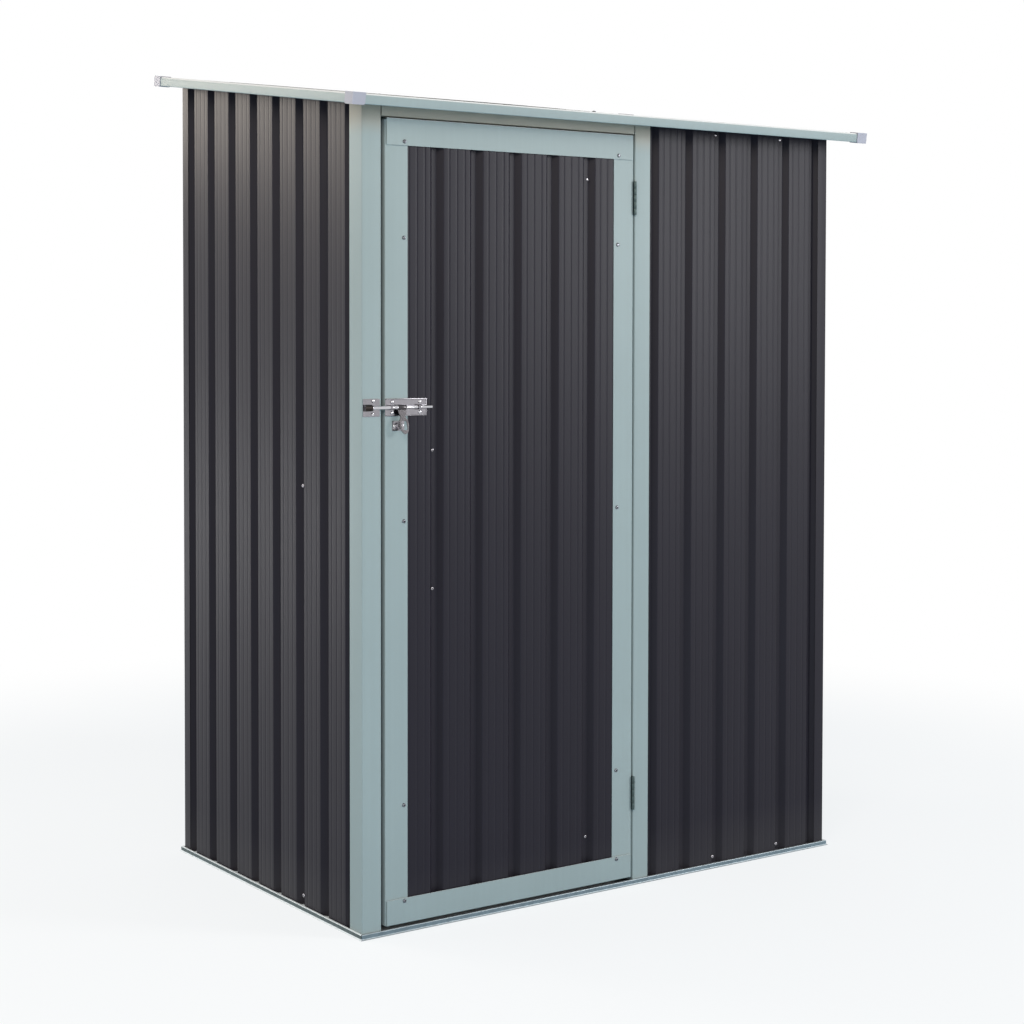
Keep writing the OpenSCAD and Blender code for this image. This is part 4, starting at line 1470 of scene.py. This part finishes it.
@dataclass
class Studio:
    """Floor, lamps and camera."""

    sizes: ShedSizes
    floor_colour: str = "#b8dcf2"
    inside_colour: str = "#cfd3d4"
    glow_colour: str = "#fafdff"
    glow: float = 0.80
    # Grey that adds the lamps' light and the shed's shadow to the glowing floor
    lit_grey: float = 0.2
    floor_r: float = 9.0
    floor_sides: int = 96
    fade: Point2 = (1.5, 3.0)
    world_strength: float = 0.38
    camera_at: Point3 = (-2.6872, -3.6190, 1.2306)
    yaw_deg: float = 33.3965
    pitch_deg: float = 1.7096
    sensor_mm: float = 36.0
    lens_mm: float = 67.035
    shift: Point2 = (0.1038, -0.12)

    def seen(self, tree: Tree) -> Socket:
        """Tells the rays that show the background from those that light the shed.

        Args:
            tree: Node tree of the floor or the world.

        Returns:
            A socket that is 1 for camera, glossy and transmission rays.
        """
        path = add(tree, "LightPath")
        rays = path.outputs["Is Camera Ray"]
        for name in ("Is Glossy Ray", "Is Transmission Ray"):
            either = add(tree, "Math", {"operation": "MAXIMUM"}, {0: rays, 1: path.outputs[name]})
            rays = either.outputs["Value"]
        return rays

    def outdoors(self, tree: Tree, place: Socket) -> Socket:
        """Tells the open floor from the floor inside the shed.

        Args:
            tree: Node tree of the floor.
            place: Place on the floor.

        Returns:
            A socket that is 0 inside the walls and 1 outside them.
        """
        s = self.sizes
        middle = (0.0, (s.y_front + s.y_back) / 2 * MM, 0.0)
        moved = add(tree, "VectorMath", {"operation": "SUBTRACT", 1: middle}, {0: place})
        size = add(tree, "VectorMath", {"operation": "ABSOLUTE"}, {0: moved.outputs["Vector"]})
        axes = add(tree, "SeparateXYZ", {}, {"Vector": size.outputs["Vector"]})
        beside, beyond = (
            add(tree, "Math", {"operation": "GREATER_THAN", 1: width / 2 * MM}, {0: axes.outputs[axis]})
            for axis, width in (("X", s.wall_w), ("Y", s.wall_d))
        )
        sides = {0: beside.outputs["Value"], 1: beyond.outputs["Value"]}
        return add(tree, "Math", {"operation": "MAXIMUM"}, sides).outputs["Value"]

    def paper(self) -> Material:
        """Builds the floor's paper: it glows for the camera outside the shed, and fades to white.

        Returns:
            The material.
        """
        material, tree, place = new_material("studio_paper")
        away = add(tree, "VectorMath", {"operation": "LENGTH"}, {0: place})
        limits = {"interpolation_type": "SMOOTHSTEP", "From Min": self.fade[0], "From Max": self.fade[1]}
        fade = add(tree, "MapRange", limits, {"Value": away.outputs["Value"]})
        white = add(tree, "Emission", {"Strength": 1.0})
        glow = add(tree, "Emission", {"Color": linear(self.glow_colour), "Strength": self.glow})
        tint = add(tree, "BsdfDiffuse", {"Color": (self.lit_grey, self.lit_grey, self.lit_grey, 1.0)})
        near = add(tree, "AddShader", {}, {0: glow.outputs["Emission"], 1: tint.outputs["BSDF"]})
        shown = add(
            tree, "MixShader", {},
            {0: fade.outputs["Result"], 1: near.outputs["Shader"], 2: white.outputs["Emission"]},
        )
        outdoors = self.outdoors(tree, place)
        colours = {MIX_A: linear(self.inside_colour), MIX_B: linear(self.floor_colour)}
        colour = add(tree, "Mix", {"data_type": "RGBA", **colours}, {"Factor": outdoors})
        plain = add(tree, "BsdfDiffuse", {}, {"Color": colour.outputs[MIX_OUT]})
        lit = add(tree, "Math", {"operation": "MULTIPLY"}, {0: self.seen(tree), 1: outdoors})
        mix = add(
            tree, "MixShader", {},
            {0: lit.outputs["Value"], 1: plain.outputs["BSDF"], 2: shown.outputs["Shader"]},
        )
        add(tree, "OutputMaterial", {}, {"Surface": mix.outputs["Shader"]})
        return material

    def build_floor(self) -> None:
        """Lays a pale floor that keeps the shed's shadow and fades to white."""
        shape = bmesh.new()
        bmesh.ops.create_circle(shape, cap_ends=True, radius=self.floor_r, segments=self.floor_sides)
        mesh = bpy.data.meshes.new("floor")
        shape.to_mesh(mesh)
        shape.free()
        mesh.materials.append(self.paper())
        floor = bpy.data.objects.new("floor", mesh)
        bpy.context.scene.collection.objects.link(floor)

    def build_world(self) -> None:
        """Lights the scene evenly and shows a white background."""
        world = bpy.data.worlds.new("studio")
        world.use_nodes = True
        tree = world.node_tree
        tree.nodes.clear()
        limits = {"To Min": self.world_strength, "To Max": 1.0}
        strength = add(tree, "MapRange", limits, {"Value": self.seen(tree)})
        white = {"Color": (1.0, 1.0, 1.0, 1.0)}
        light = add(tree, "Background", white, {"Strength": strength.outputs["Result"]})
        add(tree, "OutputWorld", {}, {"Surface": light.outputs["Background"]})
        bpy.context.scene.world = world

    def build_camera(self) -> None:
        """Sets the camera at the photograph's viewing angle."""
        data = bpy.data.cameras.new("camera")
        data.sensor_width = self.sensor_mm
        data.lens = self.lens_mm
        data.shift_x, data.shift_y = self.shift
        camera = bpy.data.objects.new("camera", data)
        bpy.context.scene.collection.objects.link(camera)
        camera.location = self.camera_at
        camera.rotation_euler = (math.radians(90 - self.pitch_deg), 0.0, -math.radians(self.yaw_deg))
        bpy.context.scene.camera = camera

    def build(self) -> None:
        """Builds the whole studio."""
        self.build_floor()
        self.build_world()
        for lamp in LAMPS:
            lamp.build()
        self.build_camera()
        bpy.context.scene.view_settings.view_transform = "Standard"


def main() -> None:
    """Builds the sub-assemblies in order."""
    logging.basicConfig(level=logging.INFO, format="%(name)s %(message)s")
    finishes = Finishes()
    sizes = ShedSizes()
    FrameDress(finishes).build()
    RibbedSheets(sizes, finishes).build()
    FoldedFrame(sizes, finishes).build()
    RoofTrims(sizes, finishes).build()
    BaseRails(sizes, finishes).build()
    Fixings(sizes, finishes).build()
    LockDetails(sizes, finishes).build()
    Studio(sizes).build()


if __name__ == "__main__":
    main()
